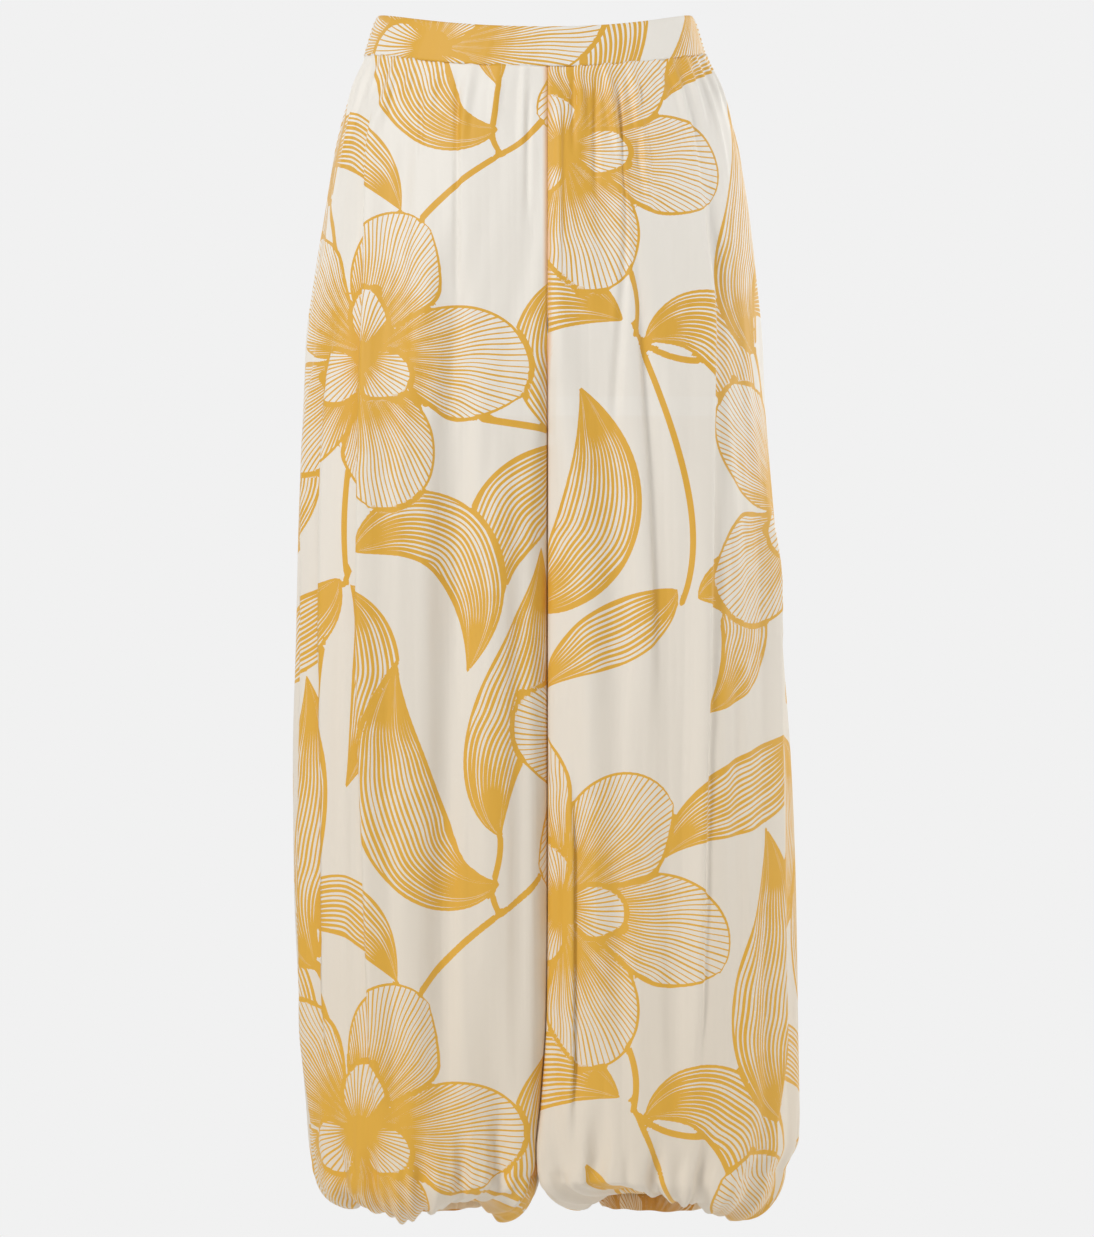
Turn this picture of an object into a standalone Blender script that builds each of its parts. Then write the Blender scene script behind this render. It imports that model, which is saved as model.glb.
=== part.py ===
"""Balloon trousers in a light woven cloth, worn and filled out, held at the waist.

Frame: +Z up, the front faces -Y, +X is the wearer's left. The origin is the centre of the
waist ring, about half way up the waistband at the side seams. Sizes are in millimetres, and
cloth_wall() makes them metres.

Every leg panel is a wall of cloth on a grid: columns run down the cloth from the waist to the
hem, rows run from the side seam round to the centre seam or, below the fork, to the inseam.
"""
import math

import bmesh
import bpy
import numpy as np

MM = 0.001

# Thickness of the cloth walls and the space kept at every seam.
CLOTH_WALL = 1.5
BAND_WALL = 2.2
SEAM_GAP = 0.3

# Levels on the garment, measured from the origin.
BAND_TOP = 19.3
BAND_BOTTOM = -15.0
FRONT_DROP = 20.0
DROP_ENDS = -200.0
FORK_TOP = -245.0
FORK_DEPTH = 90.0
FORK_BOTTOM = FORK_TOP - FORK_DEPTH
PUFF_STARTS = -850.0
HEM_TURN = -985.0
CASING_TOP = -1003.0
CASING_HEIGHT = 16.0

# The elastic ring at each hem, and how the cloth balloons over it.
RING_RADIUS_X = 52.0
RING_RADIUS_Y = 50.0
HEM_LOWEST_AT = 0.35
HEM_GATHERS = 12
HEM_PUFF = 3.2
RING_PUFF = 2.0
# Share of a puff that the other leg presses flat.
INNER_PRESS = 0.65

# Where along a panel's row that press begins, and over how much of the row it grows.
PRESS_FROM = 0.7
PRESS_OVER = 0.12
# How the hem's gathers vary in size round a panel: by how much, and how often.
HEM_VARIATION = 0.2
HEM_VARIATIONS = 1.5
HEM_VARIATION_START = 0.1
# A gather's swing down the balloon's lowest line for each unit that it stands out.
HEM_SWING = 1.2
# The panel is sewn to the elastic ring this far below the casing's upper rim.
RING_SEAM_BELOW = 1.0

# Squareness of a section: 2 is an ellipse, more is boxier.
SIDE_SQUARENESS = 2.25
CORNER_SQUARENESS = 2.5
# The most of the wall between the legs that the rounding beside it may take.
CORNER_LIMIT = 0.7

# Columns of every panel grid, and how many of them lie on the wall between the legs.
COLUMNS = 36
INNER_COLUMNS = 6
SEAM_TO_INNER = 1.0 - INNER_COLUMNS / COLUMNS
# Above the fork those columns crowd against the centre seam, from this level down.
CROWDING_FROM = -120.0
CROWDED_COLUMN = 1.2

# How far the two touching walls between the legs bow to one side, and the height over which
# the bow grows below the fork.
INNER_BOW = 4.5
BOW_GROWS = 70.0

# Level above which the whole dip of the front waist is taken, and the share of a panel's row,
# at each seam, over which folds fade into the seam.
DROP_FULL = -35.0
SEAM_HOLD = 0.12

LEGS = {"left": 1, "right": -1}
FACES = {"front": -1, "back": 1}

# One row for each level: distance from the centre plane to the side seam of each leg, depth of
# the front and back, where the legs meet (x), space between them on each side of that, where
# the section is deepest (0 at the centre seam, 1 at the side seam) and depth of the rounding
# towards the inner leg.
SECTION_COLUMNS = ("level", "right", "left", "front", "back", "split", "gap", "crest", "corner")
SECTIONS = (
    (19.3, 137.5, 137.5, 97.0, 97.0, 11.0, 0.0, 0.00, 0.0),
    (-15.0, 148.5, 148.5, 102.0, 103.0, 11.0, 0.0, 0.00, 0.0),
    (-52.0, 162.0, 163.5, 107.0, 113.0, 11.0, 0.0, 0.00, 0.0),
    (-105.0, 176.0, 178.5, 113.0, 126.0, 11.0, 0.0, 0.02, 0.0),
    (-158.0, 185.0, 186.5, 118.0, 134.0, 11.0, 0.0, 0.08, 0.0),
    (-210.0, 193.5, 191.5, 120.0, 137.0, 11.0, 0.0, 0.20, 2.0),
    (-263.0, 200.5, 196.0, 121.0, 136.0, 11.0, 0.0, 0.32, 12.0),
    (-315.0, 202.5, 198.0, 121.0, 133.0, 11.0, 0.0, 0.42, 26.0),
    (-420.0, 206.5, 206.5, 121.0, 130.0, 11.0, 0.8, 0.48, 40.0),
    (-525.0, 208.5, 213.5, 121.0, 128.0, 11.0, 1.0, 0.50, 45.0),
    (-630.0, 211.0, 220.5, 121.0, 127.0, 11.0, 1.2, 0.50, 47.0),
    (-736.0, 210.0, 224.0, 121.0, 126.0, 11.0, 1.2, 0.50, 48.0),
    (-841.0, 205.0, 226.0, 121.0, 126.0, 10.0, 1.4, 0.50, 48.0),
    (-919.0, 200.5, 227.5, 121.0, 126.0, 5.0, 2.0, 0.50, 48.0),
    (-960.0, 196.5, 227.5, 120.0, 125.0, 1.0, 2.6, 0.50, 48.0),
    (-985.0, 192.5, 217.5, 118.0, 122.0, 1.5, 3.5, 0.50, 48.0),
)

# Long folds: x of the fold's line at the three levels, where it starts and ends, its height
# (negative is a trough), half its width, how far it leans outwards for each unit of height,
# and the number of grid columns between it and the fold before it. A soft fold has no columns
# of its own.
FOLD_LEVELS = (-940.0, -450.0, -100.0)
FOLD_FADE = 90.0
FOLD_FROM_SIDE = 6.0
FOLD_GRID_COLUMNS = 4
COLUMN_LEAD = 120.0
LEAST_INNER_STEP = 4.0
FOLD_COLUMNS = ("x_low", "x_middle", "x_top", "starts", "ends", "height", "half_width", "lean", "before")
SOFT = None
FOLDS = {
    ("right", "front"): (
        (-188.0, -190.0, -172.0, -270.0, -1000.0, 7.0, 10.5, 0.9, 5),
        (-171.0, -174.0, -152.0, -250.0, -930.0, 6.0, 10.5, 0.9, 1),
        (-127.0, -137.0, -124.0, -150.0, -960.0, 7.0, 11.5, 0.9, 2),
        (-77.0, -68.0, -74.0, -30.0, -1000.0, -4.0, 24.0, 0.0, SOFT),
        (-40.0, -30.0, -30.0, -330.0, -900.0, 3.0, 22.0, 0.0, SOFT),
    ),
    ("left", "front"): (
        (204.0, 200.0, 176.0, -390.0, -1000.0, 8.0, 11.0, 0.9, 5),
        (134.0, 143.0, 146.0, -160.0, -960.0, 5.5, 12.0, 0.8, 4),
        (25.0, 26.0, 24.0, -640.0, -1000.0, 5.0, 9.0, 0.7, 7),
        (104.0, 86.0, 64.0, -20.0, -620.0, 4.5, 20.0, 0.4, SOFT),
        (70.0, 62.0, 40.0, -420.0, -960.0, -3.0, 22.0, 0.0, SOFT),
    ),
    ("right", "back"): (
        (-172.0, -176.0, -150.0, -260.0, -990.0, 7.0, 11.0, 0.9, 6),
        (-104.0, -96.0, -84.0, -150.0, -960.0, 6.0, 12.0, 0.8, 5),
        (-140.0, -140.0, -118.0, -60.0, -700.0, 3.5, 20.0, 0.3, SOFT),
        (-50.0, -42.0, -36.0, -200.0, -900.0, -3.5, 22.0, 0.0, SOFT),
    ),
    ("left", "back"): (
        (186.0, 184.0, 156.0, -330.0, -1000.0, 7.5, 11.0, 0.9, 6),
        (118.0, 108.0, 92.0, -140.0, -930.0, 6.0, 12.0, 0.8, 5),
        (152.0, 146.0, 124.0, -60.0, -640.0, 3.5, 20.0, 0.3, SOFT),
        (60.0, 52.0, 38.0, -220.0, -940.0, -3.5, 22.0, 0.0, SOFT),
    ),
}

# Small gathers under the waistband: place between side seam (0) and centre seam (1), height,
# half width and length down the cloth. Each starts at a share of its height, swells over a
# first stretch and fades from a share of its length on.
GATHER_START = 0.35
GATHER_SWELLS = 40.0
GATHER_FADES_FROM = 0.4
GATHER_COLUMNS = ("place", "height", "half_width", "length")
GATHERS = {
    ("right", "front"): (
        (0.16, 2.6, 9.0, 90.0), (0.25, 2.4, 8.5, 120.0), (0.34, 2.6, 9.0, 70.0),
        (0.46, 2.0, 10.0, 100.0), (0.76, 2.2, 10.0, 150.0), (0.90, 2.0, 9.0, 80.0),
    ),
    ("left", "front"): (
        (0.10, 2.4, 9.0, 100.0), (0.20, 2.6, 9.0, 70.0), (0.31, 2.2, 9.0, 140.0),
        (0.44, 2.6, 9.0, 110.0), (0.78, 2.6, 8.5, 170.0), (0.92, 3.0, 8.0, 240.0),
    ),
    ("right", "back"): (
        (0.08, 2.8, 8.0, 90.0), (0.19, 3.2, 8.5, 140.0), (0.30, 2.8, 8.0, 80.0),
        (0.41, 3.4, 8.5, 170.0), (0.52, 3.0, 8.0, 100.0), (0.63, 3.4, 8.5, 130.0),
        (0.74, 2.8, 8.0, 90.0), (0.85, 3.2, 8.5, 160.0), (0.94, 2.6, 7.0, 80.0),
    ),
    ("left", "back"): (
        (0.07, 2.8, 8.0, 120.0), (0.18, 3.0, 8.5, 80.0), (0.29, 3.4, 8.5, 160.0),
        (0.40, 2.8, 8.0, 90.0), (0.51, 3.4, 8.5, 140.0), (0.62, 3.0, 8.0, 100.0),
        (0.73, 3.4, 8.5, 180.0), (0.84, 2.8, 8.0, 90.0), (0.94, 2.6, 7.0, 110.0),
    ),
}

# How far each balloon hangs below the level where it turns in, by angle round the leg:
# 0 outer side, 90 front, 180 inner side, 270 back.
SAG_COLUMNS = ("angle", "right", "left")
SAGS = (
    (0.0, 33.0, 38.0),
    (45.0, 29.0, 36.0),
    (90.0, 25.0, 25.0),
    (135.0, 37.0, 27.0),
    (180.0, 34.0, 26.0),
    (225.0, 28.0, 30.0),
    (270.0, 30.0, 28.0),
    (315.0, 34.0, 37.0),
    (360.0, 33.0, 38.0),
)

# Rows of the panel grid: levels down to where the balloon turns in, then turns of the balloon,
# where 1 is its lowest line and 2 the seam on the elastic ring.
PANEL_LEVELS = (
    BAND_BOTTOM - SEAM_GAP, -36.0, -66.0, -105.0, -155.0, -205.0, FORK_TOP, -277.0, -303.0,
    -322.0, FORK_BOTTOM, -400.0, -530.0, -680.0, -830.0, -925.0, HEM_TURN,
)
HEM_TURNS = (0.42, 0.75, 1.0, 1.6, 2.0)

FRONT_BAND_COLUMNS = 32
BACK_BAND_COLUMNS = 60
BACK_BAND_RUCHES = 20
BACK_BAND_RUCHE = 2.0
BAND_PROUD = 0.5


def smooth_curve(at, places, values):
    """Read a smooth curve through rows of a table, with no overshoot between them."""
    order = np.argsort(places)
    places = np.asarray(places, float)[order]
    values = np.asarray(values, float)[order]
    steps = np.diff(places)
    slopes = np.diff(values) / steps
    tangents = np.zeros(len(values))
    tangents[0] = slopes[0]
    tangents[-1] = slopes[-1]
    for k in range(1, len(slopes)):
        if slopes[k - 1] * slopes[k] > 0.0:
            tangents[k] = 2.0 * slopes[k - 1] * slopes[k] / (slopes[k - 1] + slopes[k])
    at = np.clip(at, places[0], places[-1])
    k = np.clip(np.searchsorted(places, at) - 1, 0, len(steps) - 1)
    t = (at - places[k]) / steps[k]
    start = values[k] * (1.0 + 2.0 * t) * (1.0 - t) ** 2 + tangents[k] * steps[k] * t * (1.0 - t) ** 2
    end = values[k + 1] * t * t * (3.0 - 2.0 * t) - tangents[k + 1] * steps[k] * t * t * (1.0 - t)
    return start + end


def column_of(rows, names, name):
    """One named column of a table."""
    return [row[names.index(name)] for row in rows]


def section_size(name, level):
    """A named size of the garment's section at a level."""
    levels = column_of(SECTIONS, SECTION_COLUMNS, "level")
    return float(smooth_curve(level, levels, column_of(SECTIONS, SECTION_COLUMNS, name)))


def soft_step(value):
    """0 below 0, 1 above 1 and a smooth rise between."""
    value = np.clip(value, 0.0, 1.0)
    return value * value * (3.0 - 2.0 * value)


def fork_reach(level):
    """How far the centre seam lies from the fork: 1 on the garment's face, 0 at the fork."""
    fall = np.clip((FORK_TOP - level) / FORK_DEPTH, 0.0, 1.0)
    return math.sqrt(1.0 - fall * fall)


def half_section(leg, face, level):
    """The cloth's line round one panel at a level: points, arc lengths, and the arc length where
    the wall between the legs begins."""
    side = LEGS[leg]
    outer = side * section_size(leg, level)
    split = section_size("split", level)
    inner = split + side * (SEAM_GAP / 2.0 + section_size("gap", level))
    depth = section_size(face, level)
    end = depth * fork_reach(level)
    crest = inner + section_size("crest", level) * (outer - inner)
    corner = min(section_size("corner", level), CORNER_LIMIT * (depth - end))
    turn = np.linspace(0.0, math.pi / 2.0, 60)
    bow = 2.0 / SIDE_SQUARENESS
    side_x = crest + (outer - crest) * np.cos(turn) ** bow
    side_y = depth * np.sin(turn) ** bow
    bow = 2.0 / CORNER_SQUARENESS
    corner_x = crest - (crest - inner) * np.sin(turn) ** bow
    corner_y = depth - corner * (1.0 - np.cos(turn) ** bow)
    wall_y = np.linspace(depth - corner, min(end, depth - corner), 20)
    bow = INNER_BOW * soft_step((FORK_BOTTOM - level) / BOW_GROWS)
    wall_x = inner + bow * (1.0 - (wall_y / max(depth - corner, 1.0)) ** 2)
    x = np.concatenate([side_x, corner_x[1:], wall_x[1:]])
    y = np.concatenate([side_y, corner_y[1:], wall_y[1:]]) + SEAM_GAP / 2.0
    points = np.column_stack([x, FACES[face] * y])
    steps = np.hypot(*np.diff(points, axis=0).T)
    arc = np.concatenate([[0.0], np.cumsum(np.maximum(steps, 1e-6))])
    return points, arc, arc[len(side_x) + len(corner_x) - 2]


def fold_rows(leg, face):
    """The panel's folds as dictionaries."""
    return [dict(zip(FOLD_COLUMNS, row)) for row in FOLDS[leg, face]]


def fold_arc(fold, level, points, arc):
    """Arc length from the side seam to a fold's line."""
    x = smooth_curve(level, FOLD_LEVELS, [fold["x_low"], fold["x_middle"], fold["x_top"]])
    inwards = np.maximum.accumulate(np.abs(points[:, 0] - points[0, 0]))
    wanted = abs(float(x) - points[0, 0])
    return max(float(np.interp(wanted, inwards, arc)), fold["half_width"] + FOLD_FROM_SIDE)


def column_arcs(leg, face, level, columns, points, arc, wall_starts):
    """Arc length of every cloth column at a level. Columns gather on the folds that have their
    own, and the last ones run down the wall between the legs."""
    places = [0.0]
    arcs = [0.0]
    count = 0
    crowd = soft_step((CROWDING_FROM - level) / (CROWDING_FROM - FORK_TOP))
    beside_seam = min(wall_starts, arc[-1] - INNER_COLUMNS * CROWDED_COLUMN)
    inner_from = SEAM_TO_INNER * arc[-1] + crowd * (beside_seam - SEAM_TO_INNER * arc[-1])
    for fold in fold_rows(leg, face):
        if fold["before"] is SOFT:
            continue
        centre = fold_arc(fold, level, points, arc)
        near = soft_step((fold["starts"] + COLUMN_LEAD - level) / COLUMN_LEAD)
        count += fold["before"]
        for way, columns_in in ((-1.0, 0), (1.0, FOLD_GRID_COLUMNS)):
            places.append((count + columns_in) / COLUMNS)
            even = inner_from * places[-1] / SEAM_TO_INNER
            arcs.append(even + near * (centre + way * fold["half_width"] - even))
        count += FOLD_GRID_COLUMNS
    places += [SEAM_TO_INNER, 1.0]
    arcs += [max(inner_from, arcs[-1] + LEAST_INNER_STEP), arc[-1]]
    return np.interp(columns, places, arcs)


def fold_push(leg, face, level, along, points, arc):
    """How far folds and gathers push the cloth out, and sideways towards the side seam."""
    out = np.zeros(len(along))
    aside = np.zeros(len(along))
    for fold in fold_rows(leg, face):
        rise = soft_step((fold["starts"] - level) / FOLD_FADE)
        rise *= soft_step((level - fold["ends"]) / FOLD_FADE)
        across = (along - fold_arc(fold, level, points, arc)) / fold["half_width"]
        bump = np.where(np.abs(across) < 1.0, np.cos(0.5 * math.pi * across) ** 2, 0.0)
        out += fold["height"] * rise * bump
        aside += fold["height"] * fold["lean"] * rise * bump
    below_band = BAND_BOTTOM - level
    for row in GATHERS[leg, face]:
        gather = dict(zip(GATHER_COLUMNS, row))
        rise = GATHER_START + (1.0 - GATHER_START) * soft_step(below_band / GATHER_SWELLS)
        past = below_band / gather["length"] - GATHER_FADES_FROM
        rise *= 1.0 - soft_step(past / (1.0 - GATHER_FADES_FROM))
        across = (along - gather["place"] * arc[-1]) / gather["half_width"]
        bump = np.where(np.abs(across) < 1.0, np.cos(0.5 * math.pi * across) ** 2, 0.0)
        out += gather["height"] * rise * bump
    return out, aside


def hem_wave(columns):
    """The hem's gathers round a panel, 1 on a puff and -1 between two, larger here and there."""
    turn = 2.0 * math.pi * (HEM_VARIATIONS * columns + HEM_VARIATION_START)
    size = 1.0 - HEM_VARIATION + HEM_VARIATION * np.sin(turn)
    return size * np.cos(2.0 * math.pi * HEM_GATHERS * columns)


def ring_puff(columns):
    """How far the gathers stand out from the elastic ring, column by column."""
    return RING_PUFF * (0.5 + 0.5 * hem_wave(columns))


def front_drop(level, points, face):
    """How far the waist dips towards the centre front."""
    if face == "back":
        return np.zeros(len(points))
    share = soft_step((level - DROP_ENDS) / (DROP_FULL - DROP_ENDS))
    return FRONT_DROP * share * (points[:, 1] / section_size("front", level)) ** 2


def level_row(leg, face, level, columns):
    """Outer points of a panel along one level."""
    points, arc, wall_starts = half_section(leg, face, level)
    along = column_arcs(leg, face, level, columns, points, arc, wall_starts)
    x = np.interp(along, arc, points[:, 0])
    y = np.interp(along, arc, points[:, 1])
    ahead = np.minimum(along + 1.0, arc[-1])
    behind = np.maximum(along - 1.0, 0.0)
    tangent_x = np.interp(ahead, arc, points[:, 0]) - np.interp(behind, arc, points[:, 0])
    tangent_y = np.interp(ahead, arc, points[:, 1]) - np.interp(behind, arc, points[:, 1])
    length = np.hypot(tangent_x, tangent_y)
    tangent_x /= length
    tangent_y /= length
    turned = LEGS[leg] * FACES[face]
    normal_x = turned * tangent_y
    normal_y = -turned * tangent_x
    out, aside = fold_push(leg, face, level, along, points, arc)
    puff = HEM_PUFF * soft_step((PUFF_STARTS - level) / (PUFF_STARTS - HEM_TURN))
    press = 1.0 - INNER_PRESS * soft_step((columns - PRESS_FROM) / PRESS_OVER)
    out += puff * hem_wave(columns) * press
    hold = soft_step(np.sin(math.pi * columns) / SEAM_HOLD)
    seam_out = np.where(columns < 0.5, out[0], out[-1]) * (level <= FORK_BOTTOM)
    out = hold * out + (1.0 - hold) * seam_out
    aside *= hold
    moved_x = x + normal_x * out - tangent_x * aside
    moved_y = y + normal_y * out - tangent_y * aside
    down = front_drop(level, np.column_stack([x, y]), face)
    return np.column_stack([moved_x, moved_y, level - down])


def ring_row(leg, face, columns):
    """Points of the elastic ring's outside, column by column, and the directions out of it."""
    side = LEGS[leg]
    outer = side * section_size(leg, HEM_TURN)
    split = section_size("split", HEM_TURN)
    centre = 0.5 * (outer + split)
    angle = math.pi * columns
    ways = np.column_stack([side * np.cos(angle), FACES[face] * np.sin(angle)])
    ring = np.column_stack([centre + RING_RADIUS_X * ways[:, 0], RING_RADIUS_Y * ways[:, 1]])
    ring[:, 1] += FACES[face] * SEAM_GAP / 2.0
    return ring, ways


def hem_row(leg, face, turn, columns):
    """Outer points of a panel along one turn of the balloon."""
    outline = level_row(leg, face, HEM_TURN, columns)
    ring, ways = ring_row(leg, face, columns)
    angle = 180.0 * columns if face == "front" else 360.0 - 180.0 * columns
    sag = smooth_curve(angle, column_of(SAGS, SAG_COLUMNS, "angle"), column_of(SAGS, SAG_COLUMNS, leg))
    drop = sag + HEM_SWING * HEM_PUFF * hem_wave(columns)
    swing = 0.5 * math.pi * min(turn, 1.0)
    back = max(turn - 1.0, 0.0)
    share = (1.0 - (1.0 - HEM_LOWEST_AT) * (1.0 - math.cos(swing))) * (1.0 - back)
    level = HEM_TURN - drop * math.sin(swing)
    level += (CASING_TOP - RING_SEAM_BELOW - level) * soft_step(back)
    puff = back * ring_puff(columns)
    flat = ring + share * (outline[:, :2] - ring) + ways * puff[:, None]
    flat[:, 1] = FACES[face] * np.maximum(FACES[face] * flat[:, 1], SEAM_GAP / 2.0)
    flat[0, 1] = FACES[face] * SEAM_GAP / 2.0
    flat[-1, 1] = FACES[face] * SEAM_GAP / 2.0
    return np.column_stack([flat, level])


def wall_normals(points, outward):
    """Unit directions out of a grid of points. outward is 1 or -1."""
    down = np.gradient(points, axis=0)
    round_leg = np.gradient(points, axis=1)
    normals = np.cross(round_leg, down) * outward
    return normals / np.linalg.norm(normals, axis=2, keepdims=True)


def leg_panel_grids(leg, face):
    """Outer and inner points of one leg panel."""
    columns = np.linspace(0.0, 1.0, COLUMNS + 1)
    rows = [level_row(leg, face, level, columns) for level in PANEL_LEVELS]
    rows += [hem_row(leg, face, turn, columns) for turn in HEM_TURNS]
    outer = np.array(rows)
    normals = wall_normals(outer, -LEGS[leg] * FACES[face])
    # Walls end square on the seams, so that no panel reaches across to its neighbour.
    normals[0, :, 2] = 0.0
    normals[:, 0, 1] = 0.0
    for row, level in enumerate(PANEL_LEVELS):
        if level >= FORK_TOP:
            normals[row, -1, 0] = 0.0
        elif level > FORK_BOTTOM:
            normals[row, -1] = (-LEGS[leg], 0.0, 0.0)
        else:
            normals[row, -1, 1] = 0.0
    normals[len(PANEL_LEVELS):, -1, 1] = 0.0
    normals /= np.linalg.norm(normals, axis=2, keepdims=True)
    return outer, outer - CLOTH_WALL * normals


def band_grids(face, column_count, levels, ruches, ruche):
    """Outer and inner points of half the waistband, from the right side seam to the left."""
    rows = []
    for level in levels:
        right, right_arc, _ = half_section("right", face, level)
        left, left_arc, _ = half_section("left", face, level)
        points = np.vstack([right[:-1], left[::-1]])
        points[:, 1] = FACES[face] * np.maximum(FACES[face] * points[:, 1], SEAM_GAP / 2.0)
        steps = np.hypot(*np.diff(points, axis=0).T)
        arc = np.concatenate([[0.0], np.cumsum(steps)]) / steps.sum()
        place = np.linspace(0.0, 1.0, column_count + 1)
        x = np.interp(place, arc, points[:, 0])
        y = np.interp(place, arc, points[:, 1])
        down = front_drop(level, np.column_stack([x, y]), face)
        rows.append(np.column_stack([x, y, level - down]))
    base = np.array(rows)
    normals = wall_normals(base, FACES[face])
    normals[:, :, 2] = 0.0
    normals[:, 0, 1] = 0.0
    normals[:, -1, 1] = 0.0
    normals /= np.linalg.norm(normals, axis=2, keepdims=True)
    place = np.linspace(0.0, 1.0, column_count + 1)
    wave = ruche * (0.5 - 0.5 * np.cos(2.0 * math.pi * ruches * place))
    lift = (BAND_PROUD + wave)[None, :, None]
    outer = base + normals * lift
    return outer, outer - BAND_WALL * normals


def casing_grids(leg):
    """Outer and inner points of the elastic casing, a full turn with its ruches."""
    columns = np.linspace(0.0, 1.0, COLUMNS + 1)
    front, front_ways = ring_row(leg, "front", columns)
    back, back_ways = ring_row(leg, "back", columns)
    flat = np.vstack([front[:-1], back[::-1][:-1]])
    ways = np.vstack([front_ways[:-1], back_ways[::-1][:-1]])
    ruche = np.concatenate([ring_puff(columns)[:-1], ring_puff(columns)[::-1][:-1]])
    flat = flat + ways * (ruche - SEAM_GAP)[:, None]
    inside = flat - ways * BAND_WALL
    levels = (CASING_TOP, CASING_TOP - CASING_HEIGHT)
    outer = np.array([np.column_stack([flat, np.full(len(flat), level)]) for level in levels])
    inner = np.array([np.column_stack([inside, np.full(len(flat), level)]) for level in levels])
    return outer, inner


def cloth_material(name, colour, roughness):
    """A plain material in the cloth's colour."""
    material = bpy.data.materials.new(name)
    material.use_nodes = True
    shader = material.node_tree.nodes["Principled BSDF"]
    shader.inputs["Base Color"].default_value = (*colour, 1.0)
    shader.inputs["Roughness"].default_value = roughness
    shader.inputs["Metallic"].default_value = 0.0
    return material


def cloth_wall(name, outer, inner, colour, closed=False):
    """A solid wall between two grids of points, its rims closed."""
    rows, columns = outer.shape[:2]
    mesh = bpy.data.meshes.new(name)
    build = bmesh.new()
    skins = []
    for points in (outer, inner):
        skins.append([[build.verts.new(point * MM) for point in row] for row in points])
    spans = columns if closed else columns - 1

    def quad(a, b, c, d):
        build.faces.new((a, b, c))
        build.faces.new((a, c, d))

    for row in range(rows - 1):
        for column in range(spans):
            following = (column + 1) % columns
            corners = ((row, column), (row, following), (row + 1, following), (row + 1, column))
            quad(*(skins[0][r][c] for r, c in corners))
            a, b, c, d = (skins[1][r][c] for r, c in corners)
            build.faces.new((a, c, b))
            build.faces.new((a, d, c))
    for row in (0, rows - 1):
        for column in range(spans):
            following = (column + 1) % columns
            top = (skins[0][row][column], skins[0][row][following])
            low = (skins[1][row][following], skins[1][row][column])
            quad(*(top + low))
    if not closed:
        for column in (0, columns - 1):
            for row in range(rows - 1):
                top = (skins[0][row][column], skins[0][row + 1][column])
                low = (skins[1][row + 1][column], skins[1][row][column])
                quad(*(top + low))
    bmesh.ops.recalc_face_normals(build, faces=build.faces)
    build.to_mesh(mesh)
    build.free()
    mesh.materials.append(cloth_material(name + "_cloth", colour, 0.62))
    item = bpy.data.objects.new(name, mesh)
    bpy.context.collection.objects.link(item)
    mesh.shade_smooth()
    mesh.set_sharp_from_angle(angle=math.radians(60.0))
    return item


def build_trousers():
    """All the pieces that a maker cuts and sews."""
    ivory = (0.80, 0.72, 0.58)
    gold = (0.76, 0.50, 0.14)
    for leg in LEGS:
        for face in FACES:
            outer, inner = leg_panel_grids(leg, face)
            cloth_wall(f"leg_{leg}_{face}", outer, inner, ivory)
        outer, inner = casing_grids(leg)
        cloth_wall(f"hem_casing_{leg}", outer, inner, gold, closed=True)
    front = band_grids("front", FRONT_BAND_COLUMNS, (BAND_TOP, BAND_BOTTOM), 0, 0.0)
    cloth_wall("waistband_front", *front, ivory)
    middle = 0.5 * (BAND_TOP + BAND_BOTTOM)
    levels = (BAND_TOP, middle, BAND_BOTTOM)
    back = band_grids("back", BACK_BAND_COLUMNS, levels, BACK_BAND_RUCHES, BACK_BAND_RUCHE)
    cloth_wall("waistband_back", *back, ivory)


for old in list(bpy.data.objects):
    bpy.data.objects.remove(old)
build_trousers()
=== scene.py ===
"""Looks of a pair of balloon trousers in printed ivory crepe, worn and filled out.

Every cloth piece is a sheet that starts as a flat grid and is laid along the garment's own form:
columns run down the cloth, rows run round the leg from the side seam to the centre seam. Sizes
are in millimetres until the cloth is laid. +Z is up, the front faces -Y, +X is the wearer's left.
"""

import math

import bmesh
import bpy
import numpy as np
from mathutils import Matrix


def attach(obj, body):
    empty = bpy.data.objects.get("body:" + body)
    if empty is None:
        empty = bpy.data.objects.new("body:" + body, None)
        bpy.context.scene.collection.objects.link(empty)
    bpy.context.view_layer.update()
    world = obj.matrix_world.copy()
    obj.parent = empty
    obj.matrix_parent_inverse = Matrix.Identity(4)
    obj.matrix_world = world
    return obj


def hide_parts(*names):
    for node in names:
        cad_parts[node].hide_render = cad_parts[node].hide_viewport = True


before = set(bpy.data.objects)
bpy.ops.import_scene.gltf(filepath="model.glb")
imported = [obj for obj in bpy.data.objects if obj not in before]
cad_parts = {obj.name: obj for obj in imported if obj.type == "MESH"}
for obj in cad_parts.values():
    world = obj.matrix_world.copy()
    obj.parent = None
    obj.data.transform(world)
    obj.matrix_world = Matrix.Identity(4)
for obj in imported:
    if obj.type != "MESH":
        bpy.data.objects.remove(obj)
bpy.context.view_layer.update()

MM = 0.001

# The form of the garment, as its solids have it.
BAND_TOP = 19.3
BAND_BOTTOM = -15.0
FRONT_DROP = 20.0
DROP_FULL = -35.0
DROP_ENDS = -200.0
FORK_TOP = -245.0
FORK_DEPTH = 90.0
FORK_BOTTOM = FORK_TOP - FORK_DEPTH
HEM_TURN = -985.0
CASING_TOP = -1003.0
RING_RADIUS_X = 52.0
RING_RADIUS_Y = 50.0
HEM_LOWEST_AT = 0.35
SIDE_SQUARENESS = 2.25
CORNER_SQUARENESS = 2.5
CORNER_LIMIT = 0.7
INNER_BOW = 4.5
BOW_GROWS = 70.0
LEGS = {"left": 1, "right": -1}
FACES = {"front": -1, "back": 1}

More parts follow.
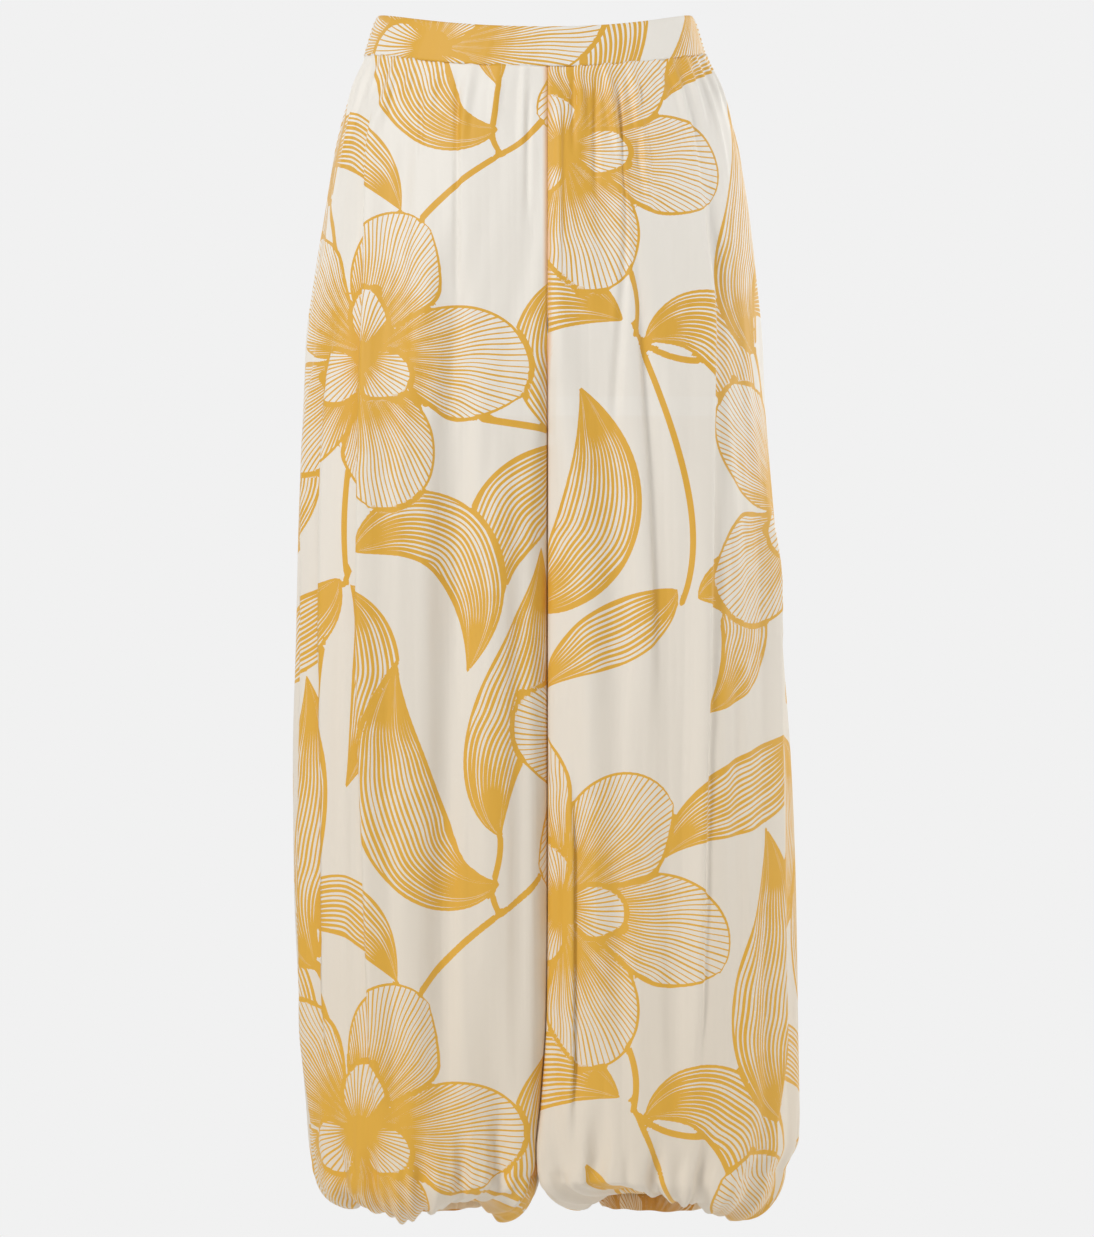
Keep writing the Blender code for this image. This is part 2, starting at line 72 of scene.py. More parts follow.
SECTION_COLUMNS = ("level", "right", "left", "front", "back", "split", "crest", "corner")
SECTIONS = (
    (19.3, 137.5, 137.5, 97, 97, 11, 0, 0),
    (-15, 148.5, 148.5, 102, 103, 11, 0, 0),
    (-52, 162, 163.5, 107, 113, 11, 0, 0),
    (-105, 176, 178.5, 113, 126, 11, 0.02, 0),
    (-158, 185, 186.5, 118, 134, 11, 0.08, 0),
    (-210, 193.5, 191.5, 120, 137, 11, 0.20, 2),
    (-263, 200.5, 196, 121, 136, 11, 0.32, 12),
    (-315, 202.5, 198, 121, 133, 11, 0.42, 26),
    (-420, 206.5, 206.5, 121, 130, 11, 0.48, 40),
    (-525, 208.5, 213.5, 121, 128, 11, 0.50, 45),
    (-630, 211, 220.5, 121, 127, 11, 0.50, 47),
    (-736, 210, 224, 121, 126, 11, 0.50, 48),
    (-841, 205, 226, 121, 126, 10, 0.50, 48),
    (-919, 200.5, 227.5, 121, 126, 5, 0.50, 48),
    (-960, 196.5, 227.5, 120, 125, 1, 0.50, 48),
    (-985, 192.5, 217.5, 118, 122, 1.5, 0.50, 48),
)
# Half the space between the legs, by level: they touch down to just above the hem.
LEG_SPACES = ((0.0, 0.0), (-335.0, 0.05), (-965.0, 0.05), (-978.0, 1.0), (-985.0, 3.5))
# How hollow each panel is beside the centre line: one leg lies a little over the other.
HOLLOWS = {
    ("left", "front"): 0.5,
    ("right", "front"): 0.6,
    ("left", "back"): 0.86,
    ("right", "back"): 0.6,
}
# Folds die out over this length of cloth before the wall between the legs.
PRESSED = 14.0
# Cloth this far from the wall between the legs, or from the centre seam, begins to get painted warm
# shade.
SHADE_BESIDE = 5.0

# Points that draw each rounded stretch of a section, and its straight wall.
ROUND_POINTS = 300
WALL_POINTS = 80

# How pronounced the long folds, the gathers and the hem's creases are, against their tables.
FOLD_STRENGTH = 1.35
GATHER_STRENGTH = 1.6
CREASE_STRENGTH = 1.7

# The waviness of the hanging cloth, for this width of it. Its slow, quick and fine waves: height,
# number, how far they wander aside and over what height, and how their starts differ by panel.
DRAPE_WIDTH = 340.0
DRAPES = (
    (2.5, 3.1, 0.10, 190.0, 1.0, 1.0),
    (1.7, 7.3, 0.14, 130.0, -1.0, -1.0),
    (0.5, 15.7, 0.20, 90.0, 0.0, 2.0),
)

# Long folds: x of the fold's line at three levels, where it starts and ends and over
# what height it fades, its height (negative is a trough), half its width, and how far its crest
# lies over towards the side seam. One that lies over further than its slope hides some cloth.
FOLD_LEVELS = (-940.0, -450.0, -100.0)
FOLDS = {
    ("right", "front"): (
        (-188, -190, -172, -230, -985, 130, 6, 12, 12),
        (-171, -174, -152, -210, -940, 110, 5, 11.5, 11),
        (-128, -140, -134, -25, -960, 90, 5, 12.5, 9),
        (-113, -118, -112, -30, -330, 80, -2.2, 13, 0),
        (-80, -70, -74, -90, -985, 160, -4.5, 24, 0),
        (-40, -32, -30, -330, -900, 120, 3.2, 20, 3),
        (-14, -12, -10, -380, -960, 140, -2.4, 12, 0),
        (-68, -68, -66, -12, -250, 40, -1.7, 4.5, 0),
        (-98, -98, -98, -12, -120, 40, -1.4, 4, 0),
        (-8, -8, -6, -12, -180, 50, -1.4, 4.2, 0),
    ),
    ("left", "front"): (
        (204, 200, 176, -360, -985, 120, 7.5, 12.5, 13),
        (131, 140, 146, -120, -960, 150, 4.8, 13, 8),
        (25, 26, 24, -600, -985, 110, 4.6, 9.5, 8),
        (104, 88, 66, -20, -640, 160, 4.2, 17, 7),
        (152, 158, 152, -60, -420, 120, -3, 18, 0),
        (72, 62, 40, -420, -960, 150, -3.4, 22, 0),
        (18, 18, 19, -22, -230, 60, 2.6, 6.5, 2),
        (176, 172, 158, -480, -960, 130, -2.6, 15, 0),
        (62, 66, 72, -12, -350, 40, -2, 4.5, 0),
        (50, 50, 52, -12, -150, 40, -1.6, 4, 0),
        (30, 31, 33, -12, -110, 40, -1.5, 4, 0),
        (90, 90, 90, -12, -130, 50, -1.5, 4.2, 0),
    ),
    ("right", "back"): (
        (-172, -176, -150, -260, -985, 120, 6.5, 12, 11),
        (-104, -96, -84, -130, -960, 120, 5.2, 13, 9),
        (-140, -140, -118, -60, -700, 140, 3.8, 18, 5),
        (-50, -42, -36, -200, -900, 140, -3.8, 21, 0),
        (-22, -20, -14, -420, -940, 120, 2.4, 12, 2),
    ),
    ("left", "back"): (
        (186, 184, 156, -330, -985, 120, 7, 12, 12),
        (118, 108, 92, -120, -930, 130, 5.2, 13, 9),
        (152, 146, 124, -60, -640, 140, 3.8, 18, 5),
        (60, 52, 38, -220, -940, 140, -3.8, 21, 0),
        (30, 30, 28, -500, -960, 120, 2.6, 12, 3),
    ),
}

# Gathers under the front waistband: place between side seam (0) and centre seam (1), height,
# half width and length.
GATHERS = {
    ("right", "front"): (
        (0.10, 2.2, 7, 70), (0.19, 2.6, 7.5, 130), (0.27, 2, 6.5, 55),
        (0.36, 2.6, 7.5, 90), (0.44, 1.6, 6, 45), (0.55, 1.4, 7, 60),
        (0.69, 1.6, 8, 110), (0.80, 1.8, 7, 70), (0.91, 1.8, 6, 95),
    ),
    ("left", "front"): (
        (0.07, 2.2, 6.5, 80), (0.16, 2.6, 7.5, 60), (0.24, 1.8, 6, 120),
        (0.33, 2.4, 7.5, 75), (0.42, 2.4, 7, 150), (0.50, 1.6, 6, 50),
        (0.63, 2.6, 6.5, 190), (0.74, 2.8, 6, 110), (0.86, 1.8, 5.5, 70),
    ),
}
# Number of gathers on a back panel. A gather's share of its height at the waistband, how far
# below it is at its full height, and from what share of its length it fades.
BACK_GATHERS = 21
GATHER_START = 0.45
GATHER_SWELLS = 26.0
GATHER_FADES_FROM = 0.35

# How far each balloon hangs below the level where it turns in, by angle round the leg:
# 0 outer side, 90 front, 180 inner side, 270 back.
SAGS = {
    "right": (
        (0, 27), (28, 31), (45, 24.5), (73, 37), (95, 27), (117, 17.5),
        (135, 30), (154, 42), (180, 29), (206, 36), (230, 24),
        (256, 34), (284, 22), (310, 36), (336, 25), (360, 27),
    ),
    "left": (
        (0, 35), (24, 42), (47, 33), (66, 25), (86, 17), (106, 7),
        (135, 22), (160, 33), (180, 27), (212, 34), (238, 23),
        (262, 31), (288, 20), (314, 38), (338, 29), (360, 35),
    ),
}
# Creases that run up from between two puffs: angle, depth, half width in degrees, height.
HEM_CREASES = {
    "right": (
        (46, 4.6, 7.5, 84), (62, 3, 5, 54), (84, 3.2, 5.5, 66),
        (101, 4, 5, 74), (117, 5.8, 7, 112), (134, 3.4, 5.5, 66),
        (10, 2.4, 7, 70), (229, 4, 9, 90), (284, 4.6, 9, 110),
        (337, 3.6, 8, 80), (256, 2.2, 6, 50), (308, 2.2, 6, 50),
    ),
    "left": (
        (48, 4.2, 8, 100), (68, 4.6, 6, 78), (79, 2.2, 4, 40),
        (88, 3.4, 5, 62), (98, 2.4, 4, 40), (110, 5.4, 6.5, 96),
        (125, 4.2, 5.5, 78), (142, 3.4, 5, 58), (8, 2.2, 7, 60),
        (238, 4, 9, 90), (288, 4.6, 9, 100), (338, 3.6, 8, 80),
        (262, 2.2, 6, 50), (314, 2.2, 6, 50),
    ),
}
# The hem's gathers: how far up they run, and their height on the balloon and at the ring.
HEM_GATHER_RISES = 110.0
HEM_GATHER = 3.0
HEM_GATHER_AT_RING = 4.0
# Their waves round the leg: share of the height, number of puffs, how uneven their spacing is
# and over how many stretches, and where they start.
HEM_WAVES = (
    (0.50, 11.0, 1.3, 3.0, 0.4),
    (0.32, 19.0, 0.9, 5.0, 2.1),
    (0.18, 33.0, 0.8, 7.0, 0.0),
)
# The other leg presses the gathers on the inner side: by what share, from where on the way to
# the inseam and over how much of it, and from what height above the turn.
HEM_PRESSED = 0.8
HEM_PRESSED_FROM = 0.62
HEM_PRESSED_OVER = 0.12
HEM_PRESSED_ABOVE = 12.0
# How far the cloth stands off the ring between its gathers.
OFF_RING = 0.9

# Drawn-in seams: how deep the cloth turns in where two panels are sewn, over what width, and how
# far from a seam the folds are held flat.
SEAM_DEPTH = 1.0
SEAM_WIDTH = 2.2
SEAM_HOLD = 12.0

# The straight grain of every panel runs down this far from the centre plane.
GRAIN_LINE = 100.0

# Grid of a leg panel: samples along a section before the columns are laid, columns, how many of
# them lie on the wall between the legs and crowd beside the centre seam above it, the extra
# columns beside each seam, and the rows.
FINE = 1500
COLUMNS = 150
INNER_COLUMNS = 26
CROWDING_FROM = -120.0
CROWDED = 8.0
SEAM_COLUMNS = (0.0, 0.7, 1.4, 2.4, 4.2)
LEG_LEVELS = np.concatenate([
    np.linspace(BAND_BOTTOM + 1.2, -70.0, 19)[:-1],
    np.linspace(-70.0, -880.0, 232)[:-1],
    np.linspace(-880.0, HEM_TURN, 36),
])
HEM_TURNS = np.concatenate([np.linspace(0.0, 1.0, 20)[1:], np.linspace(1.0, 2.0, 14)[1:]])
# Thickness of the cloth as it is shown.
CLOTH = 1.1

# Waistband halves: columns, number of ruches, their height, and cloth for each length of band.
BANDS = {"front": (190, 0, 0.0, 1.0), "back": (400, 52, 1.7, 1.5)}

# Hem casing: columns, cloth for each degree round it, its section as (out of the ring, below its
# top), and its ruches as share of the height, number and start.
CASING_COLUMNS = 420
CASING_CLOTH = 1.75
CASING_PROFILE = (
    (0.2, 0.0), (1.6, 1.2), (3.2, 4.0), (3.8, 8.5), (3.2, 13.0), (1.8, 16.4),
    (0.5, 17.6), (-0.4, 17.2), (-0.9, 15.5), (-1.0, 8.5), (-0.9, 1.5), (-0.4, 0.1),
)
CASING_RUCHES = ((0.75, 34.0, 0.0), (0.25, 79.0, 2.0))

# The print, in millimetres on the cloth: a vine of leaves and blossoms drawn in gold line.
# It repeats every REPEAT across and down. Where one shape passes over another, its rim is at
# least this wide inside its edge, and shows this far outside it.
REPEAT = np.array([560.0, 660.0])
OVERLAP_EDGE = 3.2
OVERLAP_RIM = 2.0
# Farther outside every shape, and farther inside one, than any line is drawn.
FAR_OUTSIDE = -60.0
FAR_INSIDE = 50.0
# Share of a shape's rim at its tip, and on its left and right. The drawing is heavier on the left.
RIM_AT_TIP = 0.35
RIM_LEFT = 0.9
RIM_RIGHT = 0.55
# Hatch lines are inked over this share of their spacing at most.
MOST_INK = 0.9
# Hatch lines waver by this share of their spacing, over this length.
WAVER = 0.55
WAVER_LENGTH = 34.0

# Leaves, from the top layer down: four points of the spine from base to tip, half width on its
# left and right, where it is fullest, sharpness of the tip, number of hatch lines, rim.
LEAVES = (
    ((300, 352), (372, 322), (430, 420), (392, 540), 46, 34, 0.45, 1.15, 18, 5.0),
    ((300, 392), (330, 470), (250, 520), (262, 640), 28, 34, 0.42, 1.15, 14, 4.6),
    ((490, 276), (560, 350), (470, 420), (505, 530), 40, 32, 0.42, 1.1, 16, 4.8),
    ((505, 318), (455, 350), (420, 330), (392, 268), 26, 26, 0.4, 1.0, 12, 4.0),
    ((448, 606), (388, 560), (420, 480), (452, 430), 30, 25, 0.45, 1.2, 13, 4.2),
    ((460, 612), (500, 548), (575, 570), (614, 500), 28, 36, 0.42, 1.1, 15, 4.8),
    ((430, 634), (350, 690), (300, 610), (330, 530), 28, 36, 0.42, 1.1, 15, 4.6),
    ((66, 284), (0, 340), (-62, 262), (-60, 158), 38, 30, 0.42, 1.1, 15, 4.8),
    ((88, 300), (150, 340), (226, 310), (240, 226), 40, 28, 0.45, 1.15, 15, 4.8),
    ((196, 62), (118, 70), (80, 160), (128, 246), 38, 36, 0.45, 1.15, 17, 5.0),
    ((208, 54), (282, 40), (330, -10), (306, -96), 32, 38, 0.42, 1.1, 16, 4.8),
    ((206, 70), (270, 96), (292, 170), (236, 214), 30, 26, 0.42, 1.1, 13, 4.2),
    ((22, 64), (-40, 104), (-62, 20), (10, -34), 30, 34, 0.42, 1.1, 15, 4.8),
    ((40, 72), (84, 30), (128, 36), (166, -16), 25, 29, 0.42, 1.1, 12, 4.2),
)
# Blossoms: centre, turn in degrees, petal length, petal half width, number of petals.
BLOSSOMS = (
    ((146, 462), 12.0, 136.0, 50.0, 6),
    ((428, 140), 40.0, 128.0, 52.0, 5),
)
# Radius of the solid eye in the middle of a blossom, and of the solid ground its petals stand on.
EYE = 12.0
PETAL_FEET = 36.0
# A blossom's two rings of petals, the inner one first: length and half width against its own, how
# far from its middle they start, turn in degrees, rim, and angle between hatch lines. Then what
# all petals share: number of lines, where they are fullest, and sharpness of the tip.
INNER_PETALS = 3
PETAL_RINGS = (
    (0.42, 0.50, 0.00, 55.0, 3.2, 0.085),
    (1.00, 1.00, 0.14, 0.0, 4.2, 0.036),
)
PETAL_LINES = 9
PETAL_FULLEST = 0.62
PETAL_TIP = 0.62
# A petal's spine: shares of its length ahead and aside, from base to tip.
PETAL_CURVE = ((0.0, 0.0), (0.35, -0.10), (0.72, -0.06), (1.0, 0.16))
# Width of a hatch line: everywhere, and what the base and the tip add.
LEAF_INK = (1.30, 1.2, 0.8)
PETAL_INK = (1.00, 0.9, 0.0)
# Stems: four points of the line and its half width.
STEMS = (
    ((146, 456), (220, 440), (240, 360), (300, 326), 2.8),
    ((300, 326), (350, 290), (400, 240), (430, 150), 3.0),
    ((300, 326), (316, 350), (296, 360), (300, 396), 2.6),
    ((430, 150), (470, 210), (462, 240), (490, 280), 3.0),
    ((490, 280), (540, 276), (590, 250), (630, 284), 2.8),
    ((484, 300), (470, 420), (500, 540), (452, 612), 2.7),
    ((452, 612), (460, 670), (450, 720), (430, 790), 3.0),
    ((146, 466), (108, 370), (64, 350), (76, 292), 2.8),
    ((76, 292), (44, 220), (10, 130), (34, 66), 2.7),
    ((428, 136), (350, 70), (280, 96), (200, 60), 3.0),
)

# The lining's hem, which shows faintly through the cloth, the height of its turned-up edge, over
# what height it fades, how much paler the cloth is over the lining and over that edge, and the
# levels between which painted shade makes the ground darker and warmer towards the hem, in metres.
LINING_HEM = -0.334
LINING_TURN = 0.016
LINING_FADE = 0.003
LINED_SHARE = 0.20
TURNED_SHARE = 0.25
SHADE_STARTS = -0.05
SHADE_FULLEST = -0.95

# Colours of the crepe: gold, ground, ground near the hem darkened by painted shade, how strongly the
# print shows, and how strong the painted warm shade beside the centre seam is. The casings' row
# is a darker copy: painted shade for the shadow of its ruches and of the balloons above it.
CREPE_COLOURS = {
    "printed_viscose_crepe": ("#E1AB39", "#F0EBE2", "#E5D9C7", 1.0, 0.8),
    "printed_viscose_crepe_reverse": ("#E3C47D", "#EDE6DA", "#E9DCC8", 0.55, 0.2),
    "printed_viscose_crepe_shaded_casing": ("#C98A2B", "#E4CDA9", "#E2C9A4", 1.0, 0.0),
}
# Painted warm shade where cloth faces cloth between the legs and beside the centre seam.
SHADE_BETWEEN_LEGS = "#EDB068"
# Crepe grain of 0.7 mm, drawn at 1.4 mm so that it shows, streaks of drape, and how far apart the
# print's heavier and lighter strokes are, in metres.
GRAIN_SIZE = 1.4 * MM
GRAIN_HEIGHT = 0.12 * MM
STREAK_WIDTH = 11.0 * MM
STREAK_LENGTH = 260.0 * MM
STREAK_HEIGHT = 1.1 * MM
PRESSURE_SIZE = 22.2 * MM

# The floor lies below the garment, out of the picture.
FLOOR_LEVEL = -1.6
FLOOR_RADIUS = 3.0
FLOOR_COLOUR = "#EDEDED"

# The surround is seen at its full tone and lights the cloth with a share of it, so that the lamps
# shape the folds.
SURROUND = "#F1F1F1"
SURROUND_LIGHT = 0.40

# The camera stands 4 m in front of the garment, level with its middle. The picture is
# 1094 by 1237 pixels, and one of them is 0.8757 mm on the garment's middle plane.
PIXEL = 0.8757 * MM
PICTURE_HEIGHT = 1237.0 * PIXEL
PICTURE_MIDDLE = (12.0 * PIXEL, -578.5 * PIXEL)
CAMERA_AWAY = 4.0
SENSOR = 24.0

# Soft square lamps: name, place, side and power. They all face the garment's middle.
LIGHTS = (
    ("key", (-3.3, -4.1, 2.1), 1.3, 162.0),
    ("top", (0.6, -2.6, 1.9), 2.0, 12.0),
    ("side", (3.2, 0.0, 0.2), 1.8, 42.0),
    ("back_right", (-2.6, 2.6, 0.6), 2.0, 26.0),
    ("back_left", (2.4, 2.8, 0.9), 2.0, 36.0),
)
LAMPS_FACE = np.array([0.0, 0.0, -0.5])

# Where on the repeat each piece is cut: across and down.
CUT_FROM = {
    ("front", "waistband"): (40, 176),
    ("back", "waistband"): (300, 500),
    ("left", "casing"): (-50, 150),
    ("right", "casing"): (300, 505),
    ("left", "front"): (60, 120),
    ("left", "back"): (330, 420),
    ("right", "front"): (375, 250),
    ("right", "back"): (80, 560),
}


def smooth_curve(at, places, values):
    """Read a smooth curve through rows of a table, with no overshoot between them."""
    order = np.argsort(places)
    places = np.asarray(places, float)[order]
    values = np.asarray(values, float)[order]
    steps = np.diff(places)
    slopes = np.diff(values) / steps
    tangents = np.zeros(len(values))
    tangents[0] = slopes[0]
    tangents[-1] = slopes[-1]
    for k in range(1, len(slopes)):
        if slopes[k - 1] * slopes[k] > 0.0:
            tangents[k] = 2.0 * slopes[k - 1] * slopes[k] / (slopes[k - 1] + slopes[k])
    at = np.clip(at, places[0], places[-1])
    k = np.clip(np.searchsorted(places, at) - 1, 0, len(steps) - 1)
    t = (at - places[k]) / steps[k]
    start = values[k] * (1.0 + 2.0 * t) * (1.0 - t) ** 2 + tangents[k] * steps[k] * t * (1.0 - t) ** 2
    end = values[k + 1] * t * t * (3.0 - 2.0 * t) - tangents[k + 1] * steps[k] * t * t * (1.0 - t)
    return start + end


def section_size(name, level):
    """A named size of the garment's section at a level."""
    column = SECTION_COLUMNS.index(name)
    return float(smooth_curve(level, [row[0] for row in SECTIONS], [row[column] for row in SECTIONS]))


def soft_step(value):
    """0 below 0, 1 above 1 and a smooth rise between."""
    value = np.clip(value, 0.0, 1.0)
    return value * value * (3.0 - 2.0 * value)


def bump(across):
    """A smooth ridge of height 1 between -1 and 1."""
    return np.where(np.abs(across) < 1.0, np.cos(0.5 * math.pi * np.clip(across, -1.0, 1.0)) ** 2, 0.0)


def lengths_along(points, least=0.0):
    """How far along a line each of its points is."""
    steps = np.maximum(np.hypot(*np.diff(points, axis=0).T), least)
    return np.concatenate([[0.0], np.cumsum(steps)])


def on_line(places, arc, points):
    """Points of a line at some lengths along it."""
    return np.column_stack([np.interp(places, arc, points[:, k]) for k in (0, 1)])


def ways_along(places, arc, points, reach=1.5):
    """The way a line runs at some lengths along it."""
    steps = on_line(np.minimum(places + reach, arc[-1]), arc, points)
    steps -= on_line(np.maximum(places - reach, 0.0), arc, points)
    return steps / np.linalg.norm(steps, axis=1, keepdims=True)


def half_section(leg, face, level):
    """The garment's line round one panel at a level, without folds: points, arc lengths, and
    the arc length where the wall between the legs begins."""
    side = LEGS[leg]
    outer = side * section_size(leg, level)
    space = float(smooth_curve(level, *zip(*LEG_SPACES)))
    inner = section_size("split", level) + side * space
    depth = section_size(face, level)
    fall = np.clip((FORK_TOP - level) / FORK_DEPTH, 0.0, 1.0)
    end = depth * math.sqrt(1.0 - fall * fall)
    crest = inner + section_size("crest", level) * (outer - inner)
    corner = HOLLOWS[leg, face] * min(section_size("corner", level), CORNER_LIMIT * (depth - end))
    turn = np.linspace(0.0, math.pi / 2.0, ROUND_POINTS)
    power = 2.0 / SIDE_SQUARENESS
    side_x = crest + (outer - crest) * np.cos(turn) ** power
    side_y = depth * np.sin(turn) ** power
    power = 2.0 / CORNER_SQUARENESS
    corner_x = crest - (crest - inner) * np.sin(turn) ** power
    corner_y = depth - corner * (1.0 - np.cos(turn) ** power)
    wall_y = np.linspace(depth - corner, min(end, depth - corner), WALL_POINTS)
    bow = INNER_BOW * soft_step((FORK_BOTTOM - level) / BOW_GROWS)
    wall_x = inner + bow * (1.0 - (wall_y / max(depth - corner, 1.0)) ** 2)
    x = np.concatenate([side_x, corner_x[1:], wall_x[1:]])
    y = np.concatenate([side_y, corner_y[1:], wall_y[1:]])
    points = np.column_stack([x, FACES[face] * y])
    arc = lengths_along(points, least=1e-6)
    return points, arc, arc[len(side_x) + len(corner_x) - 2]


def keep_on_half(face, points):
    """Move points of the front or the back no further than the plane between them."""
    points[:, 1] = FACES[face] * np.maximum(FACES[face] * points[:, 1], 0.0)


def round_ring(leg, angle, off=0.0):
    """Points round the ring that a hem is drawn in to, some way off it, and the ways out of it."""
    turn = np.radians(angle)
    ways = np.column_stack([LEGS[leg] * np.cos(turn), -np.sin(turn)])
    centre = 0.5 * (LEGS[leg] * section_size(leg, HEM_TURN) + section_size("split", HEM_TURN))
    off = off + np.zeros(len(turn))
    return ways * np.column_stack([RING_RADIUS_X + off, RING_RADIUS_Y + off]) + (centre, 0.0), ways


def with_last(points, last):
    """Points with one more number each."""
    return np.column_stack([points, last + np.zeros(len(points))])


def front_drop(level, points, face):
    """How far the waist dips towards the centre front."""
    if face == "back":
        return np.zeros(len(points))
    share = soft_step((level - DROP_ENDS) / (DROP_FULL - DROP_ENDS))
    return FRONT_DROP * share * (points[:, 1] / section_size("front", level)) ** 2


def back_gathers(leg):
    """Gathers under the elasticated back waistband, close and uneven."""
    chance = np.random.default_rng({"left": 5, "right": 8}[leg])
    rows = []
    for k in range(BACK_GATHERS):
        place = (k + 0.5 + chance.uniform(-0.28, 0.28)) / BACK_GATHERS
        height = chance.uniform(1.6, 3.2)
        length = chance.uniform(35.0, 90.0) if k % 3 else chance.uniform(110.0, 210.0)
        rows.append((place, height, chance.uniform(4.5, 7.0), length))
    return rows


for leg in LEGS:
    GATHERS[leg, "back"] = back_gathers(leg)


def fold_shape(leg, face, level, along, points, arc):
    """How far long folds push the cloth out, and over towards the side seam."""
    out = np.zeros(len(along))
    aside = np.zeros(len(along))
    inwards = np.maximum.accumulate(np.abs(points[:, 0] - points[0, 0]))
    for *line, starts, ends, fade, height, half_width, lean in FOLDS[leg, face]:
        x = smooth_curve(level, FOLD_LEVELS, line)
        centre = max(np.interp(abs(x - points[0, 0]), inwards, arc), half_width + 6.0)
        rise = soft_step((starts - level) / fade) * soft_step((level - ends) / fade)
        ridge = bump((along - centre) / half_width) * rise
        out += FOLD_STRENGTH * height * ridge
        aside += lean * ridge
    return out, aside


def gather_shape(leg, face, level, along, length):
    """How far the small gathers under the waistband push the cloth out."""
    out = np.zeros(len(along))
    below = BAND_BOTTOM - level
    for place, height, half_width, reach in GATHERS[leg, face]:
        rise = GATHER_START + (1.0 - GATHER_START) * soft_step(below / GATHER_SWELLS)
        past = below / reach - GATHER_FADES_FROM
        rise = rise * (1.0 - soft_step(past / (1.0 - GATHER_FADES_FROM)))
        out += GATHER_STRENGTH * height * rise * bump((along - place * length) / half_width)
    return out


def drape_shape(leg, face, level, along):
    """The slow, uneven waviness of light cloth that hangs from a gathered waist."""
    share = along / DRAPE_WIDTH
    start = LEGS[leg] * 1.3 + FACES[face] * 0.7
    varied = 0.6 + 0.4 * np.sin(level / 150.0 + 5.0 * share + start)
    out = np.zeros(len(along))
    for (height, waves, aside, over, low, high), part in zip(DRAPES, (1.0, varied, 1.0 - varied)):
        place = waves * share + aside * math.sin(level / over + low * start)
        out += height * part * np.sin(2.0 * math.pi * place + high * start)
    return out * (0.25 + 0.75 * soft_step((-60.0 - level) / 220.0))


def hem_wave(angle):
    """The hem's gathers round a leg, uneven in size and spacing. The angle is in degrees."""
    turn = np.radians(angle)
    wave = np.zeros(len(turn))
    for share, puffs, uneven, stretches, start in HEM_WAVES:
        phase = puffs * turn + uneven * np.sin(stretches * turn) + start
        wave += share * (2.0 * np.abs(np.sin(phase)) - 1.0)
    return wave


def hem_rise(level, angle):
    """How much of the hem's gathers is left at a level: some run up further than others."""
    turn = np.radians(angle)
    reach = HEM_GATHER_RISES * (0.55 + 0.45 * np.sin(5.0 * turn + 1.0) * np.cos(3.0 * turn))
    return soft_step(1.0 - (level - HEM_TURN) / np.maximum(reach, 15.0)) ** 1.5


def crease_shape(leg, level, angle):
    """How deep the creases between the hem's puffs are at a level."""
    out = np.zeros(len(angle))
    for centre, depth, half_width, height in HEM_CREASES[leg]:
        rise = soft_step(1.0 - (level - HEM_TURN) / height) ** 1.4
        away = (angle - centre + 180.0) % 360.0 - 180.0
        out -= CREASE_STRENGTH * depth * rise * bump(away / half_width)
    return out


def leg_angle(face, share):
    """Angle round the leg, 0 at the side seam and 180 at the inseam."""
    return 180.0 * share if face == "front" else 360.0 - 180.0 * share


def columns_on(total, inner_from):
    """Cloth lengths at which the columns lie, closer beside the seams. The last ones lie on the
    wall between the legs."""
    edge = np.array(SEAM_COLUMNS)
    outer = np.linspace(edge[-1], inner_from, COLUMNS - INNER_COLUMNS - len(edge) + 2)
    last = total - edge[:3][::-1]
    wall = np.linspace(inner_from, last[0], INNER_COLUMNS - 1)
    return np.concatenate([edge[:-1], outer, wall[1:], last[1:]])


def leg_row(leg, face, level):
    """Points of a panel at a level, how far each lies across the cloth from its straight grain,
    its share of the way to the inner edge, and how much painted warm shade it gets."""
    points, arc, wall_starts = half_section(leg, face, level)
    length = arc[-1]
    along = np.linspace(0.0, length, FINE)
    line = on_line(along, arc, points)
    way = ways_along(along, arc, points)
    outwards = LEGS[leg] * FACES[face] * np.column_stack([way[:, 1], -way[:, 0]])
    share = along / length
    angle = leg_angle(face, share)
    out, aside = fold_shape(leg, face, level, along, points, arc)
    out += gather_shape(leg, face, level, along, length)
    out += drape_shape(leg, face, level, along)
    above_fork = 1.0 if wall_starts > length - 1.0 else 0.0
    hold = soft_step(along / SEAM_HOLD) * soft_step((length - along) / SEAM_HOLD)
    hold *= soft_step((wall_starts - along) / PRESSED + above_fork)
    # The puffs run on across the seams, and the other leg presses them on the inner side.
    pressed = HEM_PRESSED * soft_step((share - HEM_PRESSED_FROM) / HEM_PRESSED_OVER)
    pressed *= soft_step((level - HEM_TURN) / HEM_PRESSED_ABOVE)
    hem = HEM_GATHER * hem_wave(angle) * hem_rise(level, angle) + crease_shape(leg, level, angle)
    out = out * hold + hem * (1.0 - pressed)
    from_seam = np.minimum(along, length - along)
    out -= SEAM_DEPTH * (1.0 - soft_step(from_seam / SEAM_WIDTH))
    moved = line + outwards * out[:, None] - way * (aside * hold)[:, None]
    cloth = lengths_along(moved)
    crowd = soft_step((CROWDING_FROM - level) / (CROWDING_FROM - FORK_TOP))
    beside_seam = min(np.interp(wall_starts, along, cloth), cloth[-1] - CROWDED)
    even = cloth[-1] * (1.0 - INNER_COLUMNS / COLUMNS)
    places = columns_on(cloth[-1], even + crowd * (beside_seam - even))
    facing = along < wall_starts - 1.0
    grain_at = np.interp(-GRAIN_LINE, -LEGS[leg] * line[facing, 0], along[facing])
    grain = np.interp(grain_at, along, cloth)
    down = front_drop(level, on_line(places, cloth, line), face)
    # Painted warm shade rises towards the wall between the legs.
    shade_beside_wall = soft_step((np.interp(places, cloth, along) - wall_starts) / SHADE_BESIDE + 1.0)
    row = with_last(on_line(places, cloth, moved), level - down)
    return row, places - grain, places / cloth[-1], shade_beside_wall


